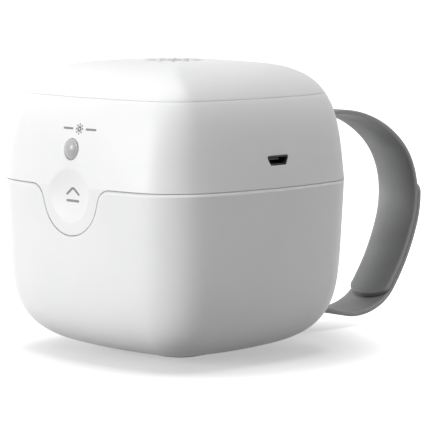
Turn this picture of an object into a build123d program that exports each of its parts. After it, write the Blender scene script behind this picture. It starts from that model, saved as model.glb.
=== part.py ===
from build123d import *
from math import asin, atan2, cos, degrees, radians, sin, sqrt
import os

# Pacifier sterilizer case: a rounded cube with a hinged lid, a press button, a charging port and a
# strap. Millimetres. X runs across the case, the front faces -Y, the hinge and strap are at +Y, +Z is
# up and the origin is on the floor under the middle of the body.
os.makedirs("parts", exist_ok=True)

# ---------------------------------------------------------------- the outer form
width = 84.0  # at the parting line, side to side
depth = 79.0  # at the parting line, front to back
height = 82.0  # floor to the crown of the lid
parting_z = 49.0
cap_seam_z = 73.0
foot_drop = 0.8  # how far the rest pad holds the shell off the floor
crown_flat = 0.05  # the loft ends this far under the crown
crown = 0.118  # share of the half width by which a side curves in at its corners
corner_radius = 17.1
lid_corner_power = 4.0  # how fast the corners tighten as the lid closes in
base_corner_power = 1.66
tightest_corner = 0.8
lid_taper = 0.081
lid_shoulder = 3.83  # superellipse powers of the lid's side view
lid_round = 4.5
base_taper = 0.053
base_shoulder = 6.88  # superellipse powers of the base's side view
base_round = 2.48
lid_rises = (0.06, 0.35, 0.6, 0.77, 0.88, 0.945, 0.983)  # where the lid's form is sectioned
base_drops = (0.06, 0.35, 0.6, 0.76, 0.87, 0.945)  # where the base's form is sectioned

# ---------------------------------------------------------------- shells and seams
overrun = 1.0  # cutting tools run this far past what they cut
wall = 2.2
seam_gap = 0.3  # at the parting line and round the tab
cap_gap = 0.16  # at the cap's seam
fit_gap = 0.2  # between pieces of one shell
body_gap = 0.3  # between pieces that move past each other
lip_wall = 1.4  # the cap's locating lip
lip_depth = 2.5
lip_rise = 2.0
ledge_wall = 1.7
ledge_height = 1.6

# ---------------------------------------------------------------- tab and thumb dish
tab_radius = 11.0
tab_bottom_z = 35.6
tab_mouth = 12.4  # half width at the parting line, before the shoulders
shoulder_radius = 4.5
pad_wall = 1.6  # backing behind the tab's notch
dish_radius = 8.25
dish_depth = 1.2
dish_z = 47.0

# ---------------------------------------------------------------- button
button_z = 59.15
button_radius = 2.9
button_dome = 0.9
button_flange_radius = 4.0
button_flange = 0.8
button_clearance = 0.2
button_travel = 0.6
stem_radius = 1.4
stem_length = 0.9
plunger_radius = 1.7
plunger_length = 1.2
plunger_clearance = 0.1

# ---------------------------------------------------------------- charging port
port_z = 56.4
port_width = 7.6
port_floor_width = 5.4
port_height = 2.6
port_slant = 1.3
port_corner = 0.4
port_clearance = 0.1
port_recess = 0.5
socket_length = 5.6
socket_sheet = 0.3
tongue_width = 3.9
tongue_height = 0.6
tongue_length = 4.0

# ---------------------------------------------------------------- base: cup, rack, feet, magnets
liner_inset = 4.4
liner_wall = 1.0
flange_z = 47.0
flange_thickness = 1.2
rack_z = 14.0
rack_thickness = 1.4
rack_gap = 0.3
rack_hole_radius = 7.0
rack_slot_count = 12
rack_slot_width = 3.0
rack_slot_start = 10.5
rack_slot_length = 12.0
pedestal_radius = 9.2
pedestal_wall = 1.6
pad_width = 28.0  # the rest pad under the base
pad_depth = 23.0
pad_corner = 6.0
pad_sunk = 0.8
magnet_from_side = 20.5
magnet_length = 8.0
magnet_thickness = 1.6
magnet_height = 3.0

# ---------------------------------------------------------------- lid: ceiling, lamps, board, cell
ceiling_z = 50.2
ceiling_thickness = 1.6
skirt_inset = 5.7
skirt_wall = 1.5
skirt_depth = 3.2
gasket_wall = 0.9
gasket_gap = 0.15
window_size = 30.0
window_thickness = 1.0
window_ledge = 2.0
window_corner = 2.0
small_chamfer = 0.15
reflector_height = 1.2
reflector_flare = 3.0
lamp_board_thickness = 1.0
lamp_size = 3.5
lamp_height = 0.8
lamp_dish_radius = 1.2
lamp_spacing = 13.0
board_thickness = 0.8
board_inset = 5.2
board_boss_gap = 0.6
board_corner = 8.0
board_blocks = (
    (-10.0, -12.0, 7.0, 7.0, 1.1),
    (13.0, -13.0, 5.0, 5.0, 2.4),
    (14.0, 6.0, 6.0, 3.0, 3.0),
    (-6.0, 8.0, 4.0, 5.0, 1.4),
    (26.0, -10.0, 3.0, 2.0, 1.0),
    (26.0, 10.0, 3.0, 2.0, 1.0),
)  # the chips' and coils' x, y, length, width and height
post_radius = 2.4
post_from_side = 23.0
post_from_front = 12.5
screw_boss_radius = 2.7
screw_boss_from_side = 16.5
screw_boss_from_front = 16.0
boss_rib = 1.4
screw_boss_height = 9.0
screw_radius = 1.0
screw_head_radius = 1.9
screw_head_height = 0.9
screw_slot = 0.5
thread_gap = 0.05
screw_length = 6.0  # how deep the bosses are bored
screw_tip_gap = 1.0
board_screw_length = 4.0
switch_width = 6.2
switch_depth = 3.4
switch_height = 7.0
tray_width = 41.0
tray_depth = 35.0
tray_y = 3.0
tray_z = 61.6
tray_thickness = 1.2
tray_rim = 1.2
tray_rim_height = 3.0
tray_corner = 3.0
tray_leg = 3.0
cell_height = 8.0
cell_edge = 1.0
lid_magnet_radius = 2.5
lid_magnet_thickness = 1.2
lid_magnet_inset = 1.0
sensor_size = (4.0, 3.0, 0.9)
sensor_from_side = 19.5
sensor_inset = 2.7  # from the skirt's outside to the sensor's middle

# ---------------------------------------------------------------- hinge
hinge_offset = 2.1  # the pin's axis stands this far behind the rear wall
barrel_radius = 2.6
pin_radius = 1.0
pin_clearance = 0.05
knuckle_gap = 0.2
knuckle_inner_x = 9.3
knuckle_base_width = 3.2
knuckle_lid_width = 5.6
knuckle_web = 6.0

# ---------------------------------------------------------------- strap: bends are (radius, degrees)
strap_width = 15.5
strap_thickness = 1.3
strap_layer_gap = 0.1
strap_wall_gap = 1.1  # between the rear wall and the strap's middle line
strap_rise_z = 46.3
strap_upper_bends = ((18.5, 90.0), (42.6, 29.8), (35.7, 12.7), (22.2, 35.5))
strap_lap_bends = ((22.2, 12.0), (26.6, 19.0), (60.3, 20.2), (13.6, 21.0))
strap_lower_bends = ((15.0, 4.4), (23.7, 41.0))
strap_tip = 4.4  # depth of the half ellipse at each end
strap_lower_run = 7.2
bracket_bottom_z = 27.0
bracket_top_z = 41.0
bracket_bar = 2.2
bracket_post = 4.0
bracket_gap = 0.4
bracket_corner = 3.0
bracket_edge = 1.0
bracket_seat_gap = 0.6  # from the inside of the rear wall's middle to the screw heads
bracket_skin = 0.2  # the posts' feet follow the rear wall at this distance
bracket_screw_length = 6.0
stud_radius = 1.6
stud_head_radius = 2.8
stud_head_height = 0.9
stud_places = (0.35, 0.9)  # along the outer layer's long lap arc

# ---------------------------------------------------------------- worked out from the sizes above
half_depth = depth / 2
magnet_x = width / 2 - magnet_from_side
post_x = width / 2 - post_from_side
post_y = half_depth - post_from_front
screw_boss_x = width / 2 - screw_boss_from_side
screw_boss_y = half_depth - screw_boss_from_front
sensor_x = width / 2 - sensor_from_side
dish_sphere = (dish_radius**2 + dish_depth**2) / (2 * dish_depth)
hinge_y = half_depth + hinge_offset
button_axis = Axis((0, 0, button_z), (0, 1, 0))
front_plane = Plane.XZ.offset(half_depth + 5 * overrun)
button_sphere = (button_radius**2 + button_dome**2) / (2 * button_dome)
front_reach = 25.0  # how far the front tools reach into the case
least_step = 0.3  # no two sections of the form are nearer than this


def wall_share(z, inset):
    """Share of the widest section at height z: one superellipse above the parting line, one below."""
    if z > parting_z:
        rise = (z - parting_z) / (height - inset - parting_z)
        return (1 - lid_taper * rise) * (1 - rise**lid_shoulder) ** (1 / lid_round)
    drop = (parting_z - z) / (parting_z - inset)
    return (1 - base_taper * drop) * (1 - drop**base_shoulder) ** (1 / base_round)


def level_halves(z, inset):
    """Half width and half depth of the form at height z, inset from the outer form."""
    widest = width / 2 - inset
    share = wall_share(z, inset)
    return widest * share, half_depth - inset - widest * (1 - share)


def level_outline(z, inset):
    """The form's outline at height z: four crowned sides and four rounded corners."""
    half_x, half_y = level_halves(z, inset)
    corner_x = half_x * (1 - crown)
    corner_y = half_y * (1 - crown)
    power = lid_corner_power if z > parting_z else base_corner_power
    radius = max((corner_radius - inset) * wall_share(z, inset) ** power, tightest_corner)
    with BuildSketch(Plane.XY.offset(z)) as outline:
        with BuildLine():
            ThreePointArc((-corner_x, -corner_y), (0, -half_y), (corner_x, -corner_y))
            ThreePointArc((corner_x, -corner_y), (half_x, 0), (corner_x, corner_y))
            ThreePointArc((corner_x, corner_y), (0, half_y), (-corner_x, corner_y))
            ThreePointArc((-corner_x, corner_y), (-half_x, 0), (-corner_x, -corner_y))
        make_face()
        fillet(outline.vertices(), radius)
    return outline.sketch


def floor_of(inset):
    """Height of the form's flat floor."""
    return inset + foot_drop


def crown_of(inset):
    """Height at which the form's loft closes under its crown."""
    return height - inset - crown_flat


def body_form(inset, bottom, top):
    """The form between two heights, inset from the outer form, as a loft of its level outlines."""
    levels = [parting_z + rise * (height - inset - parting_z) for rise in lid_rises]
    levels += [parting_z - drop * (parting_z - inset) for drop in base_drops]
    # the nearly flat crown above the last section is closed with straight sides
    crown_z = max(levels)
    loft_top = crown_z if top > crown_z + least_step else top
    levels = [z for z in levels if bottom + least_step < z < loft_top - least_step] + [bottom, loft_top]
    with BuildPart() as form:
        loft([level_outline(z, inset) for z in sorted(levels)])
        if top > loft_top:
            loft([level_outline(z, inset) for z in (loft_top, top)], ruled=True)
    return form.part


outer_form = body_form(0, floor_of(0), crown_of(0))
cavity_form = body_form(wall, floor_of(wall), crown_of(wall))
notch_form = body_form(wall + body_gap, floor_of(wall + body_gap), cap_seam_z)
pad_form = body_form(wall + body_gap + pad_wall, floor_of(wall + body_gap + pad_wall), cap_seam_z)


def lid_region(grow):
    """The lid's share of the front view: all above the parting line, and the tab below it."""
    centre_z = tab_bottom_z + tab_radius
    reach = sqrt(tab_mouth**2 + (parting_z - centre_z) ** 2)
    # the tab's side is the tangent from its mouth to the round end
    lean = Vector(tab_mouth, parting_z - centre_z).get_angle(Vector(1, 0))
    spread = Vector(tab_radius, sqrt(reach**2 - tab_radius**2)).get_angle(Vector(1, 0))
    touch = radians(lean - spread)
    touch_x = tab_radius * cos(touch)
    touch_z = centre_z + tab_radius * sin(touch)
    with BuildSketch(front_plane) as region:
        with BuildLine():
            Polyline((-touch_x, touch_z), (-tab_mouth, parting_z), (-width, parting_z))
            Polyline((-width, parting_z), (-width, 2 * height), (width, 2 * height), (width, parting_z))
            Polyline((width, parting_z), (tab_mouth, parting_z), (touch_x, touch_z))
            ThreePointArc((touch_x, touch_z), (0, tab_bottom_z), (-touch_x, touch_z))
        make_face()
        shoulders = [v for v in region.vertices() if abs(abs(v.X) - tab_mouth) < 0.01]
        fillet(shoulders, shoulder_radius)
        if grow:
            offset(amount=grow, kind=Kind.INTERSECTION)
    return region.sketch


def lid_zone(grow):
    """Space that belongs to the lid: everything above the parting line and the tab's front column."""
    with BuildPart() as zone:
        extrude(lid_region(grow), amount=front_reach, dir=(0, 1, 0))
        with Locations((0, 0, parting_z - grow)):
            Box(2 * width, 2 * depth, height, align=(Align.CENTER, Align.CENTER, Align.MIN))
    return zone.part


def port_outline(grow):
    """The charging port's opening: flat top, short sides, and corners cut off at the bottom."""
    with BuildSketch(Plane.YZ) as outline:
        with BuildLine():
            Polyline(
                (-port_width / 2, port_z + port_height / 2),
                (port_width / 2, port_z + port_height / 2),
                (port_width / 2, port_z + port_height / 2 - port_slant),
                (port_floor_width / 2, port_z - port_height / 2),
                (-port_floor_width / 2, port_z - port_height / 2),
                (-port_width / 2, port_z + port_height / 2 - port_slant),
                close=True,
            )
        make_face()
        fillet(outline.vertices(), port_corner)
        if grow:
            offset(amount=grow, kind=Kind.INTERSECTION)
    return outline.sketch


def knuckle(start, length, web_up):
    """A hinge barrel along X with a web that runs forward into the wall, above or below the pin."""
    side = 1 if web_up else -1
    with BuildPart() as piece:
        with BuildSketch(Plane.YZ.offset(start)):
            with Locations((hinge_y, parting_z)):
                Circle(barrel_radius)
            with BuildLine():
                Polyline(
                    (hinge_y + barrel_radius, parting_z),
                    (hinge_y - barrel_radius, parting_z),
                    (hinge_y - hinge_offset - wall, parting_z + side * barrel_radius / 2),
                    (hinge_y - hinge_offset - wall, parting_z + side * knuckle_web),
                    (hinge_y - barrel_radius, parting_z + side * knuckle_web),
                    close=True,
                )
            make_face()
        extrude(amount=length)
    return piece.part


def hinge_tool(start, length, radius):
    """A round bar on the hinge axis, to cut the pin's hole or running space round a barrel."""
    with BuildPart() as tool:
        with BuildSketch(Plane.YZ.offset(start)):
            with Locations((hinge_y, parting_z)):
                Circle(radius)
        extrude(amount=length)
    return tool.part


# knuckles of one side, from the middle outwards: base, lid, base
first_base_x = knuckle_inner_x
lid_knuckle_x = first_base_x + knuckle_base_width + knuckle_gap
last_base_x = lid_knuckle_x + knuckle_lid_width + knuckle_gap
knuckle_end_x = last_base_x + knuckle_base_width


def both_sides(start, length):
    """Where a stretch of the hinge starts on the right side, and its mirror image on the left."""
    return (start, -start - length)


# ---------------------------------------------------------------- base shell
rim_z = parting_z - seam_gap / 2
with BuildPart() as notch_backing:
    add(notch_form)
    split(bisect_by=Plane.XY.offset(rim_z), keep=Keep.BOTTOM)

with BuildPart() as lid_space:
    add(lid_zone(seam_gap / 2))
    add(notch_backing.part, mode=Mode.SUBTRACT)

with BuildPart() as tab_pad:
    extrude(lid_region(seam_gap / 2 + pad_wall), amount=front_reach, dir=(0, 1, 0))
    add(body_form(wall - fit_gap, tab_bottom_z - 2 * pad_wall, rim_z), mode=Mode.INTERSECT)
    add(lid_space.part, mode=Mode.SUBTRACT)
    add(pad_form, mode=Mode.SUBTRACT)

with BuildPart() as base_ledge:
    add(body_form(wall - fit_gap, flange_z - ledge_height, flange_z))
    add(body_form(wall + ledge_wall, flange_z - ledge_height, flange_z), mode=Mode.SUBTRACT)
    add(lid_space.part, mode=Mode.SUBTRACT)

strap_y = half_depth + strap_wall_gap
bracket_screw_x = strap_width / 2 + bracket_gap + bracket_post / 2
bracket_screw_places = Locations((-bracket_screw_x, (bracket_bottom_z + bracket_top_z) / 2),
                                 (bracket_screw_x, (bracket_bottom_z + bracket_top_z) / 2))


def base_magnet_plane(side):
    """Where a bar magnet stands against the front wall, turned to follow its crown."""
    half_x, half_y = level_halves(flange_z, wall + body_gap)
    arc_radius = ((half_x * (1 - crown)) ** 2 + (half_y * crown) ** 2) / (2 * half_y * crown)
    turn = side * degrees(asin(magnet_x / arc_radius))
    inner = arc_radius - magnet_thickness / 2
    centre_y = arc_radius - half_y
    place = (inner * sin(radians(turn)), centre_y - inner * cos(radians(turn)), flange_z - magnet_height)
    return Plane(origin=place, x_dir=(cos(radians(turn)), sin(radians(turn)), 0), z_dir=(0, 0, 1))


with BuildPart() as base_magnets:
    for side in (-1, 1):
        with BuildSketch(base_magnet_plane(side)):
            Rectangle(magnet_length, magnet_thickness)
        extrude(amount=magnet_height)
base_magnets.part.label = "base_magnets"
export_step(base_magnets.part, "parts/base_magnets.step")

with BuildPart() as base_shell:
    add(outer_form)
    add(lid_space.part, mode=Mode.SUBTRACT)
    add(cavity_form, mode=Mode.SUBTRACT)
    add(tab_pad.part)
    add(base_ledge.part)
    add(base_magnets.part, mode=Mode.SUBTRACT)
    for start in (first_base_x, last_base_x):
        for x in both_sides(start, knuckle_base_width):
            add(knuckle(x, knuckle_base_width, web_up=False))
    lid_space_width = knuckle_lid_width + 2 * knuckle_gap
    for x in both_sides(lid_knuckle_x - knuckle_gap, lid_space_width):
        add(hinge_tool(x, lid_space_width, barrel_radius + body_gap), mode=Mode.SUBTRACT)
    add(hinge_tool(-width / 2, width, pin_radius), mode=Mode.SUBTRACT)
    with BuildSketch(Plane.XZ.offset(-half_depth)):
        with bracket_screw_places:
            Circle(screw_radius + thread_gap)
    extrude(amount=bracket_screw_length, mode=Mode.SUBTRACT)
    with BuildSketch(Plane.XY.offset(floor_of(0))):
        RectangleRounded(pad_width + fit_gap, pad_depth + fit_gap, pad_corner)
    extrude(amount=pad_sunk, mode=Mode.SUBTRACT)
base_shell.part.label = "base_shell"
export_step(base_shell.part, "parts/base_shell.step")

# ---------------------------------------------------------------- inside the base
flange_top_z = flange_z + flange_thickness
liner_inside = liner_inset + liner_wall
with BuildPart() as liner_flange:
    add(body_form(wall + fit_gap, flange_z, flange_top_z))
    extrude(
        lid_region(seam_gap / 2 + pad_wall + fit_gap),
        amount=front_reach,
        dir=(0, 1, 0),
        mode=Mode.SUBTRACT,
    )

with BuildPart() as base_liner:
    add(liner_flange.part)
    add(body_form(liner_inset, floor_of(liner_inset), flange_top_z))
    add(body_form(liner_inside, floor_of(liner_inside), parting_z + overrun), mode=Mode.SUBTRACT)
base_liner.part.label = "base_liner"
export_step(base_liner.part, "parts/base_liner.step")

with BuildPart() as pacifier_rack:
    add(body_form(liner_inside + rack_gap, rack_z, rack_z + rack_thickness))
    with BuildSketch(Plane.XY.offset(floor_of(liner_inside))):
        Circle(pedestal_radius)
        Circle(pedestal_radius - pedestal_wall, mode=Mode.SUBTRACT)
    extrude(amount=rack_z - floor_of(liner_inside))
    with BuildSketch(Plane.XY.offset(rack_z)):
        Circle(rack_hole_radius)
        with PolarLocations(rack_slot_start + rack_slot_length / 2, rack_slot_count):
            SlotOverall(rack_slot_length, rack_slot_width)
    extrude(amount=rack_thickness, mode=Mode.SUBTRACT)
pacifier_rack.part.label = "pacifier_rack"
export_step(pacifier_rack.part, "parts/pacifier_rack.step")

with BuildPart() as rest_pad:
    with BuildSketch(Plane.XY):
        RectangleRounded(pad_width, pad_depth, pad_corner)
    extrude(amount=foot_drop + pad_sunk)
    fillet(rest_pad.edges().group_by(Axis.Z)[0], foot_drop / 2)
rest_pad.part.label = "rest_pad"
export_step(rest_pad.part, "parts/rest_pad.step")

# ---------------------------------------------------------------- hinge pins
with BuildPart() as hinge_pins:
    for x in both_sides(first_base_x, knuckle_end_x - first_base_x):
        add(hinge_tool(x, knuckle_end_x - first_base_x, pin_radius))
hinge_pins.part.label = "hinge_pins"
export_step(hinge_pins.part, "parts/hinge_pins.step")

# ---------------------------------------------------------------- strap and its bracket
pitch = strap_thickness + strap_layer_gap


def bend_on(start, tangent, bends, free_end=False):
    """Carry a line on through bends, each tangent to the one before and clockwise if it is positive.

    A last bend that ends free is kept off the line: its tip is rounded as a solid of its own first.
    """
    arcs = []
    for radius, turn in bends:
        mode = Mode.PRIVATE if free_end and len(arcs) == len(bends) - 1 else Mode.ADD
        arcs.append(JernArc(start, tangent, radius, -turn, mode=mode))
        start, tangent = arcs[-1] @ 1, arcs[-1] % 1
    return arcs


with BuildLine(Plane.YZ) as strap_line:
    bracket_middle_z = (bracket_bottom_z + bracket_top_z) / 2
    upper_run = Line((strap_y, bracket_middle_z), (strap_y, strap_rise_z))
    upper_arcs = bend_on(upper_run @ 1, upper_run % 1, strap_upper_bends + strap_lap_bends, True)
    inner_tip, inner_heading = upper_arcs[-1] @ 1, upper_arcs[-1] % 1
    lap_out = Vector(1, 0, 0).cross(inner_heading)
    # the outer layer lies over the inner one, so its lap bends are wider by one pitch
    outer_start = inner_tip + lap_out * pitch
    lap_back = [(radius + pitch, -turn) for radius, turn in reversed(strap_lap_bends)]
    lap_arcs = bend_on(outer_start, -inner_heading, lap_back, True)
    lower_arcs = bend_on(outer_start, inner_heading, strap_lower_bends)
    lower_run = PolarLine(lower_arcs[-1] @ 1, strap_lower_run, direction=lower_arcs[-1] % 1)
    # the last bend is as wide as it must be to end upright behind the bracket's bar
    lower_rise = (lower_run % 1).Z
    closing_radius = ((lower_run @ 1).Y - strap_y) / (1 - lower_rise)
    closing_arc = JernArc(lower_run @ 1, lower_run % 1, closing_radius, degrees(asin(lower_rise)) - 90)
    Line(closing_arc @ 1, (strap_y, bracket_middle_z))

# the studs stand on the inner layer's middle line and point out through the outer layer
stud_arc = lap_arcs[1]
stud_planes = []
for place in stud_places:
    outward = (stud_arc % place).cross(Vector(1, 0, 0))
    stud_planes.append(Plane(origin=(stud_arc @ place) - outward * pitch, z_dir=outward))


def band(path, start, heading, thickness):
    """A flat strip of the strap's width, swept along its middle line."""
    with BuildPart() as strip:
        add(path)
        with BuildSketch(Plane(origin=start, x_dir=(1, 0, 0), z_dir=heading)):
            Rectangle(strap_width, thickness)
        sweep()
    return strip.part


def rounded_tip(arc):
    """The strap's last arc in one layer, its free end cut to half an ellipse."""
    face_out = (arc % 1).cross(Vector(1, 0, 0))
    with BuildPart() as tip:
        # local Y runs out of the strap's end
        with BuildSketch(Plane(origin=arc @ 1, x_dir=(arc % 1).cross(face_out), z_dir=face_out)):
            with Locations((0, -strap_tip)):
                Ellipse(strap_width / 2, strap_tip)
                Rectangle(strap_width, strap_width, align=(Align.CENTER, Align.MAX))
        extrude(amount=strap_width, both=True)
        add(band(arc, arc @ 0, arc % 0, strap_thickness), mode=Mode.INTERSECT)
    return tip.part


def is_head_rim(edge):
    """True for the outer rim of a stud's head."""
    far = max(plane.to_local_coords(edge.center()).Z for plane in stud_planes)
    return edge.radius > stud_radius and far > pitch + strap_thickness / 2 + stud_head_height / 2


with BuildPart() as strap:
    add(band(strap_line.line, upper_arcs[-1] @ 0, upper_arcs[-1] % 0, strap_thickness))
    for arc in (upper_arcs[-1], lap_arcs[-1]):
        add(rounded_tip(arc))
    for plane in stud_planes:
        with BuildSketch(plane):
            Circle(stud_radius + fit_gap / 2)
        extrude(amount=2 * pitch, mode=Mode.SUBTRACT)
strap.part.label = "strap"
export_step(strap.part, "parts/strap.step")

with BuildPart() as strap_studs:
    for plane in stud_planes:
        with BuildSketch(plane):
            Circle(stud_radius)
        extrude(amount=pitch + strap_thickness / 2)
        with BuildSketch(plane.offset(pitch + strap_thickness / 2)):
            Circle(stud_head_radius)
        extrude(amount=stud_head_height)
    fillet(strap_studs.edges().filter_by(GeomType.CIRCLE).filter_by(is_head_rim), stud_head_height / 2)
strap_studs.part.label = "strap_studs"
export_step(strap_studs.part, "parts/strap_studs.step")

bar_y = strap_y + strap_thickness / 2 + bracket_gap
bracket_half_width = strap_width / 2 + bracket_gap + bracket_post
bracket_seat_y = level_halves(bracket_middle_z, wall)[1] - bracket_seat_gap
with BuildPart() as strap_bracket:
    with BuildSketch(Plane.XY.offset(bracket_bottom_z)):
        with Locations((0, half_depth - wall)):
            reach_y = bar_y + bracket_bar - half_depth + wall
            RectangleRounded(2 * bracket_half_width, 2 * reach_y, bracket_corner)
    extrude(amount=bracket_top_z - bracket_bottom_z)
    levels = strap_bracket.edges().group_by(Axis.Z)
    fillet(levels[0] + levels[-1], bracket_edge)
    # the strap's passage, and the curve of the rear wall that the posts stand on
    with Locations((0, bar_y, bracket_middle_z)):
        Box(
            strap_width + 2 * bracket_gap,
            2 * depth,
            height,
            align=(Align.CENTER, Align.MAX, Align.CENTER),
            mode=Mode.SUBTRACT,
        )
    add(body_form(-bracket_skin, bracket_bottom_z - overrun, bracket_top_z + overrun), mode=Mode.SUBTRACT)
    with BuildSketch(Plane.XZ.offset(-half_depth + wall)):
        with bracket_screw_places:
            Circle(screw_radius + thread_gap)
    extrude(amount=-(bracket_screw_length - screw_head_height), mode=Mode.SUBTRACT)
strap_bracket.part.label = "strap_bracket"
export_step(strap_bracket.part, "parts/strap_bracket.step")

with BuildPart() as bracket_screws:
    with BuildSketch(Plane.XZ.offset(-bracket_seat_y)):
        with bracket_screw_places:
            Circle(screw_radius)
    extrude(amount=-bracket_screw_length)
    with BuildSketch(Plane.XZ.offset(-bracket_seat_y)):
        with bracket_screw_places:
            Circle(screw_head_radius)
    extrude(amount=screw_head_height)
bracket_screws.part.label = "bracket_screws"
export_step(bracket_screws.part, "parts/bracket_screws.step")

# ---------------------------------------------------------------- lid band with the tab
ceiling_top_z = ceiling_z + ceiling_thickness
port_face_x = level_halves(port_z, 0)[0]
button_face_y = -level_halves(button_z, 0)[1]
button_inner_y = -level_halves(button_z + button_flange_radius, wall)[1]
screw_bosses = GridLocations(2 * screw_boss_x, 2 * screw_boss_y, 2, 2)
boss_top_z = ceiling_top_z + screw_boss_height

with BuildPart() as lid_ledge:
    add(body_form(wall - fit_gap, ceiling_top_z, ceiling_top_z + ledge_height))
    add(body_form(wall + ledge_wall, ceiling_top_z, ceiling_top_z + ledge_height), mode=Mode.SUBTRACT)

with BuildPart() as boss_ribs:
    with BuildSketch(Plane.XY.offset(ceiling_top_z)):
        with screw_bosses:
            Circle(screw_boss_radius)
        for side_x in (-1, 1):
            for side_y in (-1, 1):
                middle = ((screw_boss_x + width / 2) / 2 * side_x, (screw_boss_y + half_depth) / 2 * side_y)
                with Locations(Location(middle, degrees(atan2(middle[1], middle[0])))):
                    Rectangle(width / 4, boss_rib)
    extrude(amount=screw_boss_height)
    add(body_form(wall - fit_gap, ceiling_top_z - overrun, boss_top_z + overrun), mode=Mode.INTERSECT)

with BuildPart() as thumb_dish:
    with BuildSketch(Plane.YZ):
        with Locations((-level_halves(dish_z, 0)[1] + dish_depth - dish_sphere, dish_z)):
            Circle(dish_sphere)
            Rectangle(4 * dish_sphere, 2 * dish_sphere, align=(Align.CENTER, Align.MAX), mode=Mode.SUBTRACT)
    revolve(axis=Axis((0, 0, dish_z), (0, 1, 0)))

with BuildPart() as lid_band:
    add(outer_form)
    split(bisect_by=Plane.XY.offset(cap_seam_z - cap_gap / 2), keep=Keep.BOTTOM)
    add(lid_zone(-seam_gap / 2), mode=Mode.INTERSECT)
    add(cavity_form, mode=Mode.SUBTRACT)
    add(lid_ledge.part)
    add(boss_ribs.part)
    with BuildSketch(Plane.XY.offset(ceiling_top_z)):
        with screw_bosses:
            Circle(screw_radius + thread_gap)
    extrude(amount=screw_length, mode=Mode.SUBTRACT)
    for x in both_sides(lid_knuckle_x, knuckle_lid_width):
        add(knuckle(x, knuckle_lid_width, web_up=True))
    base_space_width = knuckle_base_width + 2 * knuckle_gap
    for start in (first_base_x, last_base_x):
        for x in both_sides(start - knuckle_gap, base_space_width):
            add(hinge_tool(x, base_space_width, barrel_radius + body_gap), mode=Mode.SUBTRACT)
    add(hinge_tool(-width / 2, width, pin_radius + pin_clearance), mode=Mode.SUBTRACT)
    add(thumb_dish.part, mode=Mode.SUBTRACT)
    with BuildSketch(front_plane):
        with Locations((0, button_z)):
            Circle(button_radius + button_clearance)
    extrude(amount=-front_reach, mode=Mode.SUBTRACT)
    extrude(port_outline(0), amount=width, mode=Mode.SUBTRACT)
lid_band.part.label = "lid_band"
export_step(lid_band.part, "parts/lid_band.step")

# ---------------------------------------------------------------- lid cap
lip_inset = wall + fit_gap
with BuildPart() as lid_cap:
    add(outer_form)
    split(bisect_by=Plane.XY.offset(cap_seam_z + cap_gap / 2), keep=Keep.TOP)
    add(cavity_form, mode=Mode.SUBTRACT)
    add(body_form(wall - fit_gap, cap_seam_z + cap_gap / 2, cap_seam_z + lip_rise))
    add(body_form(lip_inset, cap_seam_z - lip_depth, cap_seam_z + lip_rise))
    add(body_form(lip_inset + lip_wall, cap_seam_z - lip_depth, cap_seam_z + lip_rise), mode=Mode.SUBTRACT)
lid_cap.part.label = "lid_cap"
export_step(lid_cap.part, "parts/lid_cap.step")

# ---------------------------------------------------------------- lid ceiling, gasket, window
board_top_z = port_z - port_height / 2 + port_clearance
board_z = board_top_z - board_thickness
post_places = GridLocations(2 * post_x, 2 * post_y, 2, 2)
lid_magnet_y = -level_halves(ceiling_z, skirt_inset)[1] + lid_magnet_inset
sensor_y = lid_magnet_y - lid_magnet_inset + sensor_inset
lid_magnet_places = Locations((-magnet_x, lid_magnet_y), (magnet_x, lid_magnet_y))
window_opening = window_size - 2 * window_ledge

with BuildPart() as lid_ceiling:
    add(body_form(wall + fit_gap, ceiling_z, ceiling_top_z))
    add(body_form(skirt_inset, ceiling_z - skirt_depth, ceiling_z))
    add(body_form(skirt_inset + skirt_wall, ceiling_z - skirt_depth, ceiling_z), mode=Mode.SUBTRACT)
    with BuildSketch(Plane.XY.offset(ceiling_top_z)):
        with post_places:
            Circle(post_radius)
    extrude(amount=board_z - ceiling_top_z)
    with BuildSketch(Plane.XY.offset(ceiling_z)):
        RectangleRounded(window_opening, window_opening, window_corner)
        with screw_bosses:
            Circle(screw_radius + thread_gap)
        with post_places:
            Circle(screw_radius + thread_gap)
    extrude(amount=board_z - ceiling_z, mode=Mode.SUBTRACT)
    with BuildSketch(Plane.XY.offset(ceiling_top_z - window_thickness)):
        RectangleRounded(window_size + fit_gap, window_size + fit_gap, window_corner)
    extrude(amount=window_thickness, mode=Mode.SUBTRACT)
    with BuildSketch(Plane.XY.offset(ceiling_z)):
        with screw_bosses:
            Circle(screw_head_radius + fit_gap)
    extrude(amount=screw_head_height, mode=Mode.SUBTRACT)
    with BuildSketch(Plane.XY.offset(ceiling_top_z - lid_magnet_thickness)):
        with lid_magnet_places:
            Circle(lid_magnet_radius)
    extrude(amount=lid_magnet_thickness, mode=Mode.SUBTRACT)
lid_ceiling.part.label = "lid_ceiling"
export_step(lid_ceiling.part, "parts/lid_ceiling.step")

with BuildPart() as lid_magnets:
    with BuildSketch(Plane.XY.offset(ceiling_top_z - lid_magnet_thickness)):
        with lid_magnet_places:
            Circle(lid_magnet_radius)
    extrude(amount=lid_magnet_thickness)
lid_magnets.part.label = "lid_magnets"
export_step(lid_magnets.part, "parts/lid_magnets.step")

with BuildPart() as lid_gasket:
    add(body_form(liner_inset, flange_top_z + gasket_gap, ceiling_z))
    add(body_form(liner_inset + gasket_wall, flange_top_z + gasket_gap, ceiling_z), mode=Mode.SUBTRACT)
lid_gasket.part.label = "lid_gasket"
export_step(lid_gasket.part, "parts/lid_gasket.step")

with BuildPart() as uv_window:
    with BuildSketch(Plane.XY.offset(ceiling_top_z - window_thickness)):
        RectangleRounded(window_size, window_size, window_corner)
    extrude(amount=window_thickness)
    chamfer(uv_window.edges().group_by(Axis.Z)[0], small_chamfer)
uv_window.part.label = "uv_window"
export_step(uv_window.part, "parts/uv_window.step")

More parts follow.
